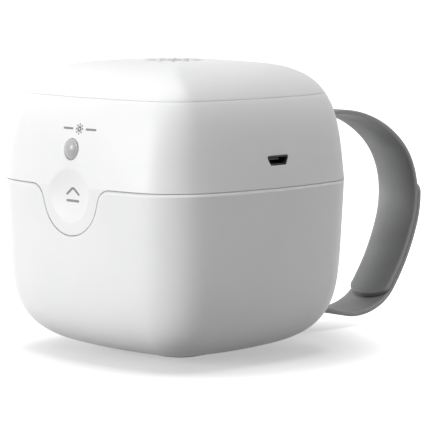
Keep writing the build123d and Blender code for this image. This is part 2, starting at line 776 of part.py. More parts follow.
with BuildPart() as lid_screws:
    with BuildSketch(Plane.XY.offset(ceiling_z)):
        with screw_bosses:
            Circle(screw_head_radius)
    extrude(amount=screw_head_height)
    with BuildSketch(Plane.XY.offset(ceiling_z)):
        with screw_bosses:
            Circle(screw_radius)
    extrude(amount=ceiling_thickness + screw_length - screw_tip_gap)
    with BuildSketch(Plane.XY.offset(ceiling_z)):
        with screw_bosses:
            Rectangle(2 * screw_radius, screw_slot)
            Rectangle(screw_slot, 2 * screw_radius)
    extrude(amount=screw_head_height / 2, mode=Mode.SUBTRACT)
lid_screws.part.label = "lid_screws"
export_step(lid_screws.part, "parts/lid_screws.step")

# ---------------------------------------------------------------- lamps
reflector_z = ceiling_top_z
lamp_board_z = reflector_z + reflector_height
lamp_board_size = window_size + window_ledge
with BuildPart() as lamp_reflector:
    with BuildSketch(Plane.XY.offset(reflector_z)):
        RectangleRounded(lamp_board_size, lamp_board_size, window_corner)
    extrude(amount=reflector_height)
    with BuildSketch(Plane.XY.offset(reflector_z)):
        RectangleRounded(window_opening, window_opening, window_corner)
    with BuildSketch(Plane.XY.offset(lamp_board_z)):
        RectangleRounded(window_opening - reflector_flare, window_opening - reflector_flare, window_corner)
    loft(mode=Mode.SUBTRACT)
lamp_reflector.part.label = "lamp_reflector"
export_step(lamp_reflector.part, "parts/lamp_reflector.step")

with BuildPart() as lamp_board:
    with BuildSketch(Plane.XY.offset(lamp_board_z)):
        RectangleRounded(lamp_board_size, lamp_board_size, window_corner)
    extrude(amount=lamp_board_thickness)
lamp_board.part.label = "lamp_board"
export_step(lamp_board.part, "parts/lamp_board.step")

with BuildPart() as uv_lamps:
    with BuildSketch(Plane.XY.offset(lamp_board_z - lamp_height)):
        with GridLocations(lamp_spacing, lamp_spacing, 2, 2):
            Rectangle(lamp_size, lamp_size)
    extrude(amount=lamp_height)
    with BuildSketch(Plane.XY.offset(lamp_board_z - lamp_height)):
        with GridLocations(lamp_spacing, lamp_spacing, 2, 2):
            Circle(lamp_dish_radius)
    extrude(amount=lamp_height / 2, mode=Mode.SUBTRACT)
uv_lamps.part.label = "uv_lamps"
export_step(uv_lamps.part, "parts/uv_lamps.step")

# ---------------------------------------------------------------- main board and what it carries
with BuildPart() as main_board:
    with BuildSketch(Plane.XY.offset(board_z)):
        add(level_outline(board_z, board_inset))
        with screw_bosses:
            Circle(screw_boss_radius + board_boss_gap, mode=Mode.SUBTRACT)
        for side_x in (-1, 1):
            for side_y in (-1, 1):
                corner = (side_x * (screw_boss_x + board_corner), side_y * (screw_boss_y + board_corner))
                with Locations(corner):
                    Rectangle(2 * board_corner, 2 * board_corner, mode=Mode.SUBTRACT)
        with post_places:
            Circle(screw_radius + fit_gap, mode=Mode.SUBTRACT)
    extrude(amount=board_thickness)
main_board.part.label = "main_board"
export_step(main_board.part, "parts/main_board.step")

with BuildPart() as board_screws:
    with BuildSketch(Plane.XY.offset(board_top_z)):
        with post_places:
            Circle(screw_head_radius)
    extrude(amount=screw_head_height)
    with BuildSketch(Plane.XY.offset(board_top_z)):
        with post_places:
            Circle(screw_radius)
    extrude(amount=-board_screw_length)
board_screws.part.label = "board_screws"
export_step(board_screws.part, "parts/board_screws.step")

with BuildPart() as board_parts:
    for x, y, size_x, size_y, size_z in board_blocks:
        with BuildSketch(Plane.XY.offset(board_top_z)):
            with Locations((x, y)):
                Rectangle(size_x, size_y)
        extrude(amount=size_z)
board_parts.part.label = "board_parts"
export_step(board_parts.part, "parts/board_parts.step")

with BuildPart() as lid_sensor:
    with BuildSketch(Plane.XY.offset(board_z)):
        with Locations((-sensor_x, sensor_y)):
            Rectangle(sensor_size[0], sensor_size[1])
    extrude(amount=-sensor_size[2])
lid_sensor.part.label = "lid_sensor"
export_step(lid_sensor.part, "parts/lid_sensor.step")

socket_mouth_x = port_face_x - port_recess
with BuildPart() as usb_socket:
    extrude(port_outline(-port_clearance).moved(Location((socket_mouth_x - socket_length, 0, 0))),
            amount=socket_length, dir=(1, 0, 0))
    extrude(port_outline(-port_clearance - socket_sheet).moved(Location((socket_mouth_x, 0, 0))),
            amount=socket_length - socket_sheet, dir=(-1, 0, 0), mode=Mode.SUBTRACT)
usb_socket.part.label = "usb_socket"
export_step(usb_socket.part, "parts/usb_socket.step")

with BuildPart() as usb_tongue:
    with BuildSketch(Plane.YZ.offset(socket_mouth_x - socket_length + socket_sheet)):
        with Locations((0, port_z + tongue_height / 2)):
            Rectangle(tongue_width, tongue_height)
    extrude(amount=tongue_length)
    chamfer(usb_tongue.faces().sort_by(Axis.X)[-1].edges(), small_chamfer)
usb_tongue.part.label = "usb_tongue"
export_step(usb_tongue.part, "parts/usb_tongue.step")

# ---------------------------------------------------------------- cell and its tray
cell_z = tray_z + tray_thickness
with BuildPart() as cell_tray:
    with BuildSketch(Plane.XY.offset(tray_z)):
        with Locations((0, tray_y)):
            RectangleRounded(tray_width, tray_depth, tray_corner)
    extrude(amount=tray_thickness + tray_rim_height)
    with BuildSketch(Plane.XY.offset(cell_z)):
        with Locations((0, tray_y)):
            RectangleRounded(tray_width - 2 * tray_rim, tray_depth - 2 * tray_rim, tray_corner - tray_rim)
    extrude(amount=tray_rim_height, mode=Mode.SUBTRACT)
    with BuildSketch(Plane.XY.offset(board_top_z)):
        with Locations((0, tray_y)):
            with GridLocations(tray_width - 2 * tray_leg, tray_depth - 2 * tray_leg, 2, 2):
                Rectangle(tray_leg, tray_leg)
    extrude(amount=tray_z - board_top_z)
cell_tray.part.label = "cell_tray"
export_step(cell_tray.part, "parts/cell_tray.step")

with BuildPart() as battery_cell:
    with BuildSketch(Plane.XY.offset(cell_z)):
        with Locations((0, tray_y)):
            RectangleRounded(
                tray_width - 2 * tray_rim - 2 * fit_gap,
                tray_depth - 2 * tray_rim - 2 * fit_gap,
                tray_corner - tray_rim,
            )
    extrude(amount=cell_height)
    fillet(battery_cell.edges().group_by(Axis.Z)[-1], cell_edge)
battery_cell.part.label = "battery_cell"
export_step(battery_cell.part, "parts/battery_cell.step")

# ---------------------------------------------------------------- button and its switch
flange_front_y = button_inner_y + body_gap
switch_y = flange_front_y + button_flange + stem_length + plunger_length
dome_middle_y = button_face_y - sqrt(button_sphere**2 - button_radius**2 / 4) + button_sphere - button_dome
with BuildPart() as press_button:
    with BuildSketch(Plane.YZ):
        with BuildLine():
            ThreePointArc(
                (button_face_y - button_dome, button_z),
                (dome_middle_y, button_z + button_radius / 2),
                (button_face_y, button_z + button_radius),
            )
            Polyline(
                (button_face_y, button_z + button_radius),
                (flange_front_y, button_z + button_radius),
                (flange_front_y, button_z + button_flange_radius),
                (flange_front_y + button_flange, button_z + button_flange_radius),
                (flange_front_y + button_flange, button_z + stem_radius),
                (flange_front_y + button_flange + stem_length, button_z + stem_radius),
                (flange_front_y + button_flange + stem_length, button_z),
                (button_face_y - button_dome, button_z),
            )
        make_face()
    revolve(axis=button_axis)
press_button.part.label = "press_button"
export_step(press_button.part, "parts/press_button.step")

plunger_y = switch_y - plunger_length
with BuildPart() as switch_plunger:
    with BuildSketch(Plane.XZ.offset(-plunger_y)):
        with Locations((0, button_z)):
            Circle(plunger_radius)
    extrude(amount=-(2 * plunger_length))
switch_plunger.part.label = "switch_plunger"
export_step(switch_plunger.part, "parts/switch_plunger.step")

with BuildPart() as button_switch:
    with BuildSketch(Plane.XY.offset(board_top_z)):
        with Locations((0, switch_y)):
            Rectangle(switch_width, switch_depth, align=(Align.CENTER, Align.MIN))
    extrude(amount=switch_height)
    with BuildSketch(Plane.XZ.offset(-switch_y)):
        with Locations((0, button_z)):
            Circle(plunger_radius + plunger_clearance)
    extrude(amount=-(plunger_length + button_travel + plunger_clearance), mode=Mode.SUBTRACT)
button_switch.part.label = "button_switch"
export_step(button_switch.part, "parts/button_switch.step")
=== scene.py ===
# %% [markdown]
# # A pacifier sterilizer case
#
# The case is a rounded cube of white plastic: a base, a lid band with a thumb tab, and a lid cap.
# A grey silicone strap hangs from a bracket on its rear wall. This file dresses the imported CAD
# model: it hangs the pieces on their moving bodies, and numpy works out the shells, the button and
# the strap again, with the small round edges that catch the light along a real seam. Their sizes are
# the CAD's, apart from thinner seams, shorter base knuckles and a slightly smaller button flange.

import bpy
import numpy as np
from mathutils import Matrix, Vector


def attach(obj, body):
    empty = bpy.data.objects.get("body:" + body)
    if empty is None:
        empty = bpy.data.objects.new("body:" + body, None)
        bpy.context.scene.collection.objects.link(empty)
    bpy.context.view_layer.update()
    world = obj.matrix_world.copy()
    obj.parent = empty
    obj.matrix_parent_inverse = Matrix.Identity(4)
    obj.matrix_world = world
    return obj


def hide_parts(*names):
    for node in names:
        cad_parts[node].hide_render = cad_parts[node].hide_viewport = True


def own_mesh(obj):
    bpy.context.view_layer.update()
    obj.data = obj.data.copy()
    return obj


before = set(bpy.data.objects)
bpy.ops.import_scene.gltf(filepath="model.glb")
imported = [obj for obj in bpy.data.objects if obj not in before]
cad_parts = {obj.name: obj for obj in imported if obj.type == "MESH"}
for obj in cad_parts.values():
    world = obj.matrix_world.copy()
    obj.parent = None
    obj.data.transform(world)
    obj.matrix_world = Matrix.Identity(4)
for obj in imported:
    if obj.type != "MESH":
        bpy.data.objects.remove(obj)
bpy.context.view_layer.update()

# %% [markdown]
# ## Camera
#
# A product picture is taken with a long lens from a little above the table, so that upright edges
# stay upright. The camera is placed by its azimuth, elevation and distance, and then pushed
# sideways and up a little to put the case where the picture has it. That needs no lens shift.

# %% Camera
MM = 0.001
IMAGE_PIXELS, FOCAL_PIXELS = 430, 2611.82
SENSOR_MM = 36.0
CAMERA_AZIMUTH, CAMERA_ELEVATION, CAMERA_DISTANCE = 46.103, 6.373, 737.4
CAMERA_AIM, CAMERA_OFFSET = (0.0, 0.0, 41.04), (-11.40, 2.815)


def linked(name, data):
    """A new object of this data, in the scene."""
    thing = bpy.data.objects.new(name, data)
    bpy.context.scene.collection.objects.link(thing)
    return thing


def place_camera(azimuth, elevation, distance, focal_pixels, aim, offset):
    """A camera that looks at aim from distance, then moves by offset across and up its own picture."""
    a, e = np.radians(azimuth), np.radians(elevation)
    back = np.array([np.sin(a) * np.cos(e), -np.cos(a) * np.cos(e), np.sin(e)])
    right = np.array([np.cos(a), np.sin(a), 0.0])
    up = np.cross(back, right)
    place = np.array(aim) + distance * back - offset[0] * right - offset[1] * up
    data = bpy.data.cameras.new("product_camera")
    data.sensor_width = SENSOR_MM
    data.lens = focal_pixels * SENSOR_MM / IMAGE_PIXELS
    camera = linked("product_camera", data)
    camera.matrix_world = Matrix(
        [[right[i], up[i], back[i], MM * place[i]] for i in range(3)] + [[0, 0, 0, 1]]
    )
    bpy.context.scene.camera = camera
    return camera


camera = place_camera(
    CAMERA_AZIMUTH, CAMERA_ELEVATION, CAMERA_DISTANCE, FOCAL_PIXELS, CAMERA_AIM, CAMERA_OFFSET
)
print("lens in mm:", round(camera.data.lens, 1))

# %% [markdown]
# ## The form
#
# One formula gives the whole body. Seen from the side, the case is a superellipse above its parting
# line and another below it: a share of the widest section that falls to nothing at the crown and at
# the floor. Seen from above, each section is a rounded rectangle whose four sides bulge a little.
# A lofted or subdivided cage would come close, but a formula gives exact heights for every seam.

# %% Sizes of the form, in millimetres
WIDTH, DEPTH, HEIGHT = 84.0, 79.0, 82.0
PARTING_Z, CAP_SEAM_Z, FLOOR_Z = 49.0, 73.0, 0.8
CROWN = 0.118
CORNER, TIGHTEST = 17.1, 0.8
LID_TAPER, LID_SHOULDER, LID_ROUND, LID_CORNER_POWER = 0.081, 3.83, 4.5, 4.0
BASE_TAPER, BASE_SHOULDER, BASE_ROUND, BASE_CORNER_POWER = 0.053, 6.88, 2.48, 1.66
SEAM_GAP, CAP_GAP, WALL, BODY_GAP = 0.045, 0.035, 2.2, 0.3


def share(z, inset=0.0):
    """Share of the widest section at height z: (1 - taper r)(1 - r^shoulder)^(1/round).

    r runs from 0 at the parting line to 1 at the crown, or to 1 at the floor for the base."""
    rise = np.clip((z - PARTING_Z) / (HEIGHT - inset - PARTING_Z), 0, 1)
    drop = np.clip((PARTING_Z - z) / (PARTING_Z - inset), 0, 1)
    lid = (1 - LID_TAPER * rise) * (1 - rise**LID_SHOULDER) ** (1 / LID_ROUND)
    base = (1 - BASE_TAPER * drop) * (1 - drop**BASE_SHOULDER) ** (1 / BASE_ROUND)
    return np.where(z > PARTING_Z, lid, base)


def quarter(q, z, inset):
    """A point of the front right quarter of the section at height z, and where the fillet starts and ends.

    q runs 0 to 1 along the front's arc, 1 to 2 round the corner's fillet and 2 to 3 along the right
    side's arc. The fillet's centre is where the two arcs, each drawn in by its radius, cross."""
    s = share(z, inset)
    widest = WIDTH / 2 - inset
    half_x = widest * s
    half_y = DEPTH / 2 - inset - widest * (1 - s)
    power = np.where(z > PARTING_Z, LID_CORNER_POWER, BASE_CORNER_POWER)
    r = np.maximum((CORNER - inset) * s**power, TIGHTEST)
    end_x, end_y = half_x * (1 - CROWN), half_y * (1 - CROWN)
    front_r = (end_x**2 + (CROWN * half_y) ** 2) / (2 * CROWN * half_y)
    side_r = (end_y**2 + (CROWN * half_x) ** 2) / (2 * CROWN * half_x)
    front_y = front_r - half_y
    side_x = half_x - side_r
    span = np.hypot(side_x, front_y)
    along = ((front_r - r) ** 2 - (side_r - r) ** 2 + span**2) / (2 * span)
    across = np.sqrt((front_r - r) ** 2 - along**2)
    ux, uy = side_x / span, -front_y / span
    fillet_x = along * ux - across * uy
    fillet_y = front_y + along * uy + across * ux
    touch_x = fillet_x * front_r / (front_r - r)
    touch_y = fillet_y * side_r / (side_r - r)
    front_x = np.clip(q, 0, 1) * touch_x
    front = (front_x, front_y - np.sqrt(front_r**2 - front_x**2))
    start = np.arctan2(fillet_y - front_y, fillet_x)
    stop = np.arctan2(fillet_y, fillet_x - side_x)
    turn = start + np.clip(q - 1, 0, 1) * (stop - start)
    corner = (fillet_x + r * np.cos(turn), fillet_y + r * np.sin(turn))
    right_y = np.clip(3 - q, 0, 1) * touch_y
    right = (side_x + np.sqrt(side_r**2 - right_y**2), right_y)
    pick = [q <= 1, q <= 2]
    x = np.select(pick, [front[0], corner[0]], right[0])
    y = np.select(pick, [front[1], corner[1]], right[1])
    return x, y, touch_x, touch_y


def skin(p, z, inset=0.0):
    """Points of the body's surface. p runs round the case from 0 at the front's middle to 12.

    Each quarter of the case is the first one mirrored, and takes 3 of p."""
    p, z = np.broadcast_arrays(np.asarray(p, float) % 12, np.asarray(z, float))
    number = np.floor(p / 3).astype(int)
    local = p - 3 * number
    q = np.where(number % 2 == 1, 3 - local, local)
    x, y, _, _ = quarter(q, z, inset)
    x = np.where(number >= 2, -x, x)
    y = np.where((number == 1) | (number == 2), -y, y)
    return np.stack([x, y, z], axis=-1)


def front_p(x, z, inset=0.0):
    """The p of a point of the front or its arcs that has this x at height z."""
    q = np.abs(x) / quarter(np.zeros_like(z), z, inset)[2]
    return np.where(x < 0, 12 - q, q)


def front_y_at(x, z, inset=0.0):
    """How far back the front's surface lies at x and z, for places on the front's own arc."""
    return skin(front_p(x, z, inset), z, inset)[..., 1]


def side_x_at(y, z, inset=0.0):
    """How far out the right side's surface lies at y and z, for places on the side's own arc."""
    touch_y = quarter(np.full_like(z, 3.0), z, inset)[3]
    return skin(3 + y / np.abs(touch_y), z, inset)[..., 0]


def surface_frame(p, z, inset):
    """Unit vectors on the surface, round the case and up it, and the normal that points out."""
    step = 1e-3
    round_it = skin(p + step, z, inset) - skin(p - step, z, inset)
    up_it = skin(p, z + step, inset) - skin(p, z - step, inset)
    round_it /= np.linalg.norm(round_it, axis=-1, keepdims=True)
    up_it /= np.linalg.norm(up_it, axis=-1, keepdims=True)
    out = np.cross(round_it, up_it)
    return round_it, up_it, out / np.linalg.norm(out, axis=-1, keepdims=True)


corners = skin(np.arange(12.0), np.full(12, PARTING_Z))
print("form at the parting line, mm:", np.round(corners.max(0) - corners.min(0), 2))

# %% [markdown]
# ## From arrays to meshes
#
# Every piece below is a set of rows of points. Neighbouring rows and columns make the faces, and a
# row of one point closes a pole. Faces are flat numbers in one array, so the mesh is filled with
# foreach_set and no loop runs over its points.

# %% Mesh helpers
ROUND_STEPS, CURVE_SAMPLES = 3, 2001


def grid_faces(rows, columns, close_rows=False, close_columns=True, first=0):
    """Corner numbers of the faces between rows * columns points, counter-clockwise seen from outside."""
    i = np.arange(rows if close_rows else rows - 1)[:, None]
    j = np.arange(columns if close_columns else columns - 1)[None, :]
    i2, j2 = (i + 1) % rows, (j + 1) % columns
    quads = np.stack([i * columns + j, i * columns + j2, i2 * columns + j2, i2 * columns + j], -1)
    return first + quads.reshape(-1, 4)


def fan_faces(ring, pole, flip=False):
    """Triangles from a closed ring of point numbers to one pole."""
    after = np.roll(ring, -1)
    pair = (after, ring) if flip else (ring, after)
    return np.stack([pair[0], pair[1], np.full(len(ring), pole)], -1)


def mesh_object(name, points, quads, triangles=None, smooth=True):
    """A mesh object at the origin from points in millimetres and arrays of corner numbers."""
    triangles = np.zeros((0, 3), int) if triangles is None else np.asarray(triangles)
    loops = np.concatenate([quads.ravel(), triangles.ravel()]).astype(np.int32)
    sizes = np.concatenate([np.full(len(quads), 4), np.full(len(triangles), 3)]).astype(np.int32)
    starts = np.concatenate([[0], np.cumsum(sizes)[:-1]]).astype(np.int32)
    mesh = bpy.data.meshes.new(name)
    mesh.vertices.add(len(points))
    mesh.vertices.foreach_set("co", (MM * np.asarray(points)).astype(np.float32).ravel())
    mesh.loops.add(len(loops))
    mesh.loops.foreach_set("vertex_index", loops)
    mesh.polygons.add(len(sizes))
    mesh.polygons.foreach_set("loop_start", starts)
    mesh.polygons.foreach_set("loop_total", sizes)
    mesh.polygons.foreach_set("use_smooth", np.full(len(sizes), smooth))
    mesh.update(calc_edges=True)
    mesh.validate()
    return linked(name, mesh)


def rounding(edge, along, out, radius):
    """Rows of a quarter-round: edge + radius (sin a along - (1 - cos a) out), a up to 90 degrees."""
    angles = np.linspace(0, np.pi / 2, ROUND_STEPS + 1)[1:]
    return [edge + radius * (np.sin(a) * along - (1 - np.cos(a)) * out) for a in angles]


def even_levels(start, stop, count, inset=0.0):
    """Heights between start and stop that are evenly spaced along the side view's curve."""
    z = start + (stop - start) * 0.5 * (1 - np.cos(np.linspace(0, np.pi, CURVE_SAMPLES)))
    run = np.concatenate([[0], np.cumsum(np.hypot(np.diff(z), WIDTH / 2 * np.diff(share(z, inset))))])
    return np.interp(np.linspace(0, run[-1], count), run, z)


print("even levels of the base, mm:", np.round(even_levels(FLOOR_Z, PARTING_Z, 5), 1))

# %% [markdown]
# ## The parting line and its tab
#
# The lid's front runs down in a round thumb tab. Seen from the front, the seam is a level line, a
# shoulder arc, a slanting tangent and the tab's round end. It is drawn once, by its own length, so
# that the columns of both meshes follow it. Each shell keeps half the gap away from it.

# %% Seam curve
TAB_RADIUS, TAB_BOTTOM_Z, TAB_MOUTH, SHOULDER_RADIUS = 11.0, 35.6, 12.4, 4.5
SEAM_END_X, SEAM_STEP = 18.5, 0.4


def seam_curve():
    """Points (x, z) of the seam's front part, left to right, and unit normals towards the base."""
    centre_z = TAB_BOTTOM_Z + TAB_RADIUS
    mouth = np.array([TAB_MOUTH, PARTING_Z - centre_z])
    reach = np.hypot(*mouth)
    touch = np.arctan2(mouth[1], mouth[0]) - np.arccos(TAB_RADIUS / reach)
    foot = TAB_RADIUS * np.array([np.cos(touch), np.sin(touch)])
    slant = (mouth - foot) / np.hypot(*(mouth - foot))
    turn = np.arccos(slant[0])
    cut = SHOULDER_RADIUS * np.tan(turn / 2)
    lengths = np.cumsum([
        TAB_RADIUS * (touch + np.pi / 2),
        np.hypot(*(mouth - foot)) - cut,
        SHOULDER_RADIUS * turn,
        SEAM_END_X - TAB_MOUTH - cut,
    ])
    s = np.linspace(0, lengths[-1], int(round(lengths[-1] / SEAM_STEP)) + 1)[:, None]
    a = s / TAB_RADIUS - np.pi / 2
    bottom = TAB_RADIUS * np.hstack([np.cos(a), np.sin(a)])
    side = foot + (s - lengths[0]) * slant
    b = np.pi / 2 + turn - (s - lengths[1]) / SHOULDER_RADIUS
    arc = np.hstack([np.cos(b), np.sin(b)])
    shoulder = mouth + np.array([cut, -SHOULDER_RADIUS]) + SHOULDER_RADIUS * arc
    level = np.hstack([TAB_MOUTH + cut + s - lengths[2], np.full_like(s, mouth[1])])
    conditions = [s <= lengths[0], s <= lengths[1], s <= lengths[2]]
    points = np.select(conditions, [bottom, side, shoulder], level)
    normals = np.select(
        conditions,
        [bottom / TAB_RADIUS, np.array([slant[1], -slant[0]]) + 0 * s, -arc],
        np.array([0.0, -1.0]) + 0 * s,
    )
    points = points + np.array([0.0, centre_z])
    mirror = np.array([-1.0, 1.0])
    return (
        np.vstack([(points * mirror)[:0:-1], points]),
        np.vstack([(normals * mirror)[:0:-1], normals]),
    )


seam_points, seam_normals = seam_curve()
print("seam points on the front:", len(seam_points), "lowest at z", round(seam_points[:, 1].min(), 2))

# %% Columns round the case
SIDE_STEPS, CORNER_STEPS, FRONT_REST_STEPS = 34, 20, 9
PORT_REACH_P, PORT_STEPS, PORT_SIDE_STEPS = 0.2, 24, 14


def columns(offset):
    """p, z and front-view normal of each column's end at the parting line, offset from the seam.

    The front's columns come from the seam. The others are spread over the rest of the way round."""
    at = seam_points + offset * seam_normals
    p = front_p(at[:, 0], at[:, 1])
    stretches = (
        (p[-1], 1, FRONT_REST_STEPS),
        (1, 2, CORNER_STEPS),
        (2, 3 - PORT_REACH_P, PORT_SIDE_STEPS),
        (3 - PORT_REACH_P, 3 + PORT_REACH_P, PORT_STEPS),
        (3 + PORT_REACH_P, 4, PORT_SIDE_STEPS),
        (4, 5, CORNER_STEPS),
        (5, 7, SIDE_STEPS),
        (7, 8, CORNER_STEPS),
        (8, 10, SIDE_STEPS),
        (10, 11, CORNER_STEPS),
        (11, p[0], FRONT_REST_STEPS),
    )
    rest = np.concatenate([np.linspace(low, high, steps + 1)[:-1] for low, high, steps in stretches])[1:]
    level = np.full(len(rest), PARTING_Z - offset)
    down = np.tile([0.0, -1.0], (len(rest), 1))
    return (
        np.concatenate([p, rest]),
        np.concatenate([at[:, 1], level]),
        np.vstack([seam_normals, down]),
    )


def edge_vectors(p, z, normals, inset=0.0):
    """The way across the seam on the surface, towards the base, and the surface's outward normal."""
    round_it, up_it, out = surface_frame(p, z, inset)
    along = normals[:, :1] * round_it + normals[:, 1:] * up_it
    return along / np.linalg.norm(along, axis=-1, keepdims=True), out


print("columns round a shell:", len(columns(0.0)[0]))

# %% [markdown]
# ## The base shell
#
# A moulded shell has two skins, 2.2 mm apart, and a rim between them with a small round edge on
# each side. Those edges are what makes a seam look like a seam: each catches a thin line of light
# beside the dark gap. The rows run up the outside, over the rim and down the inside, so that one
# closed surface gives the whole wall. The posts and ledges inside the CAD's shells are left out.

# %% Base shell
EDGE, FRONT_MARGIN = 0.07, 1.0
BASE_ROWS = 64


def inner_p(p, z, inset):
    """The p that keeps the front's columns at the same x on the inner skin, so the tab's wall is square."""
    outer = skin(p, z)
    front = (np.abs(outer[:, 0]) < SEAM_END_X + FRONT_MARGIN) & (outer[:, 1] < 0)
    return np.where(front, front_p(outer[:, 0], z, inset), p)


def rim_rows(p, z, normals, radius):
    """The rows over a rim, from the outer skin's edge to the inner skin's, both rounded."""
    along, out = edge_vectors(p, z, normals)
    inside = inner_p(p, z, WALL)
    inner_edge = skin(inside, z, WALL)
    inner_out = edge_vectors(inside, z, normals, WALL)[1]
    outer_round = rounding(skin(p, z), along, out, radius)
    inner_round = rounding(inner_edge, along, -inner_out, radius)
    return outer_round + inner_round[::-1] + [inner_edge]


def poled_arrays(rows, first_pole, last_pole):
    """Points, quads and triangles of rows of points with a pole under the first row and on the last."""
    ring_size = len(rows[0])
    points = np.vstack(rows + [first_pole, last_pole])
    rings = np.arange(ring_size)
    last = ring_size * (len(rows) - 1)
    fans = np.vstack([
        fan_faces(rings, len(points) - 2, flip=True),
        fan_faces(last + rings, len(points) - 1),
    ])
    return points, grid_faces(len(rows), ring_size), fans


def poled_object(name, rows, first_pole, last_pole):
    """A closed piece from rows of points, with a pole at each end."""
    return mesh_object(name, *poled_arrays(rows, first_pole, last_pole))


offset = SEAM_GAP / 2 + EDGE
p, rim_z, normals = columns(offset)
floor_z = np.full_like(rim_z, FLOOR_Z)
fractions = (even_levels(FLOOR_Z, PARTING_Z - offset, BASE_ROWS) - FLOOR_Z) / (PARTING_Z - offset - FLOOR_Z)
outer = [skin(p, floor_z + f * (rim_z - floor_z)) for f in fractions]
inner_floor = FLOOR_Z + WALL
inside_p = inner_p(p, rim_z, WALL)
inner = [skin(inside_p, inner_floor + f * (rim_z - inner_floor), WALL) for f in fractions[::-2]]
base_shell = poled_object(
    "case_base",
    outer + rim_rows(p, rim_z, normals, EDGE) + inner[1:],
    [[0, 0, FLOOR_Z]],
    [[0, 0, inner_floor]],
)
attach(base_shell, "base")
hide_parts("base_shell")
print("base shell faces:", len(base_shell.data.polygons))

# %% [markdown]
# ## The lid band, with its tab, dish and two openings
#
# The band is a ring: its rows run up the outside, over the upper rim, down the inside and back under
# to where they began. The thumb dish is a shallow ball pressed into the tab; a soft maximum of the
# wall's depth and the ball's depth rounds its rim as a mould maker would. For the button and the
# port a block of faces is left out, and rows of points lead from the block's square edge to the
# round or six-sided edge of the opening, and on through the wall.

# %% Thumb dish
DISH_Z, DISH_RADIUS, DISH_DEPTH, DISH_SOFTNESS, DISH_REACH = 46.6, 8.8, 1.25, 0.07, 1.3
DISH_BALL = (DISH_RADIUS**2 + DISH_DEPTH**2) / (2 * DISH_DEPTH)


def press_dish(points):
    """Moves front points back to the dish's ball: y = softmax(wall, ball), a quadratic blend."""
    x, y, z = points[..., 0], points[..., 1], points[..., 2]
    deepest = front_y_at(np.zeros(1), np.full(1, DISH_Z))[0] + DISH_DEPTH
    square = DISH_BALL**2 - x**2 - (z - DISH_Z) ** 2
    ball = deepest - DISH_BALL + np.sqrt(np.maximum(square, 0))
    blend = np.clip(0.5 + 0.5 * (ball - y) / DISH_SOFTNESS, 0, 1)
    pressed = y + (ball - y) * blend + DISH_SOFTNESS * blend * (1 - blend)
    near = (y < 0) & (np.hypot(x, z - DISH_Z) < DISH_REACH * DISH_RADIUS)
    return np.stack([x, np.where(near, pressed, y), z], -1)


print("radius of the dish's ball in mm:", round(DISH_BALL, 1))

# %% Openings through the wall
BUTTON_Z, BUTTON_HOLE_RADIUS, HOLE_EDGE = 59.15, 2.96, 0.1
PORT_Z, PORT_WIDTH, PORT_FLOOR_WIDTH, PORT_HEIGHT, PORT_SLANT = 56.4, 7.7, 5.7, 2.7, 0.9
PORT_CORNER, PORT_EDGE, PORT_ARC_STEPS = 0.4, 0.18, 12
ROUND_DEGREES, OUTER_SHARES, INNER_SHARE = (30, 60, 90), (0.4, 0.75), 0.5


def lengths_along(line):
    """How far along a line of points each of them lies."""
    return np.concatenate([[0], np.cumsum(np.linalg.norm(np.diff(line, axis=0), axis=1))])


def points_at(line, run, s):
    """The points that lie s along a flat line, where run is its lengths_along."""
    return np.stack([np.interp(s, run, line[:, k]) for k in (0, 1)], -1)


def round_hole(count, radius, start):
    """Points of a circle, counter-clockwise, beginning at the angle start."""
    a = start + np.linspace(0, 2 * np.pi, count, endpoint=False)
    return radius * np.stack([np.cos(a), np.sin(a)], -1)


def rounded_polygon(corners, radius, grow, count, start):
    """count points along a polygon with rounded corners, beginning nearest to the angle start.

    Each corner's arc has its centre where the two sides, drawn in by the radius, meet."""
    corners = np.array(corners, float)
    before = corners - np.roll(corners, 1, 0)
    after = np.roll(corners, -1, 0) - corners
    before /= np.linalg.norm(before, axis=1, keepdims=True)
    after /= np.linalg.norm(after, axis=1, keepdims=True)
    turn = np.arccos(np.sum(before * after, 1))[:, None]
    left = np.stack([-before[:, 1], before[:, 0]], -1)
    centre = corners - before * radius * np.tan(turn / 2) + left * radius
    a = np.arctan2(-left[:, 1], -left[:, 0])[:, None] + turn * np.linspace(0, 1, PORT_ARC_STEPS)[None, :]
    arcs = centre[:, None] + (radius + grow) * np.stack([np.cos(a), np.sin(a)], -1)
    outline = arcs.reshape(-1, 2)
    angle = np.arctan2(outline[:, 1], outline[:, 0])
    first = np.argmin(np.abs(np.angle(np.exp(1j * (angle - start)))))
    outline = np.roll(outline, -first, 0)
    outline = np.vstack([outline, outline[:1]])
    run = lengths_along(outline)
    return points_at(outline, run, np.linspace(0, run[-1], count, endpoint=False))


def port_corners():
    """The port's outline from the side, counter-clockwise: flat top, slanted lower corners."""
    half, low = PORT_WIDTH / 2, PORT_FLOOR_WIDTH / 2
    top, knee, bottom = PORT_HEIGHT / 2, PORT_HEIGHT / 2 - PORT_SLANT, -PORT_HEIGHT / 2
    return [(-half, top), (-half, knee), (-low, bottom), (low, bottom), (half, knee), (half, top)]


def hole_loops(block, inner_block, shape, place, radius):
    """Rows from a block's edge on the outer skin to a rounded opening, through it, and to the inner edge.

    shape(grow) gives the opening's outline; place(outline, inset, depth) puts it on a skin."""
    rim = place(shape(radius), 0.0, 0.0)
    rows = [block + f * (rim - block) for f in OUTER_SHARES] + [rim]
    for a in np.radians(ROUND_DEGREES):
        rows.append(place(shape(radius * (1 - np.sin(a))), 0.0, radius * (1 - np.cos(a))))
    inner_rim = place(shape(0.0), WALL, 0.0)
    return rows + [inner_rim, inner_rim + INNER_SHARE * (inner_block - inner_rim)]


print("corners of the port's outline, mm:", port_corners())

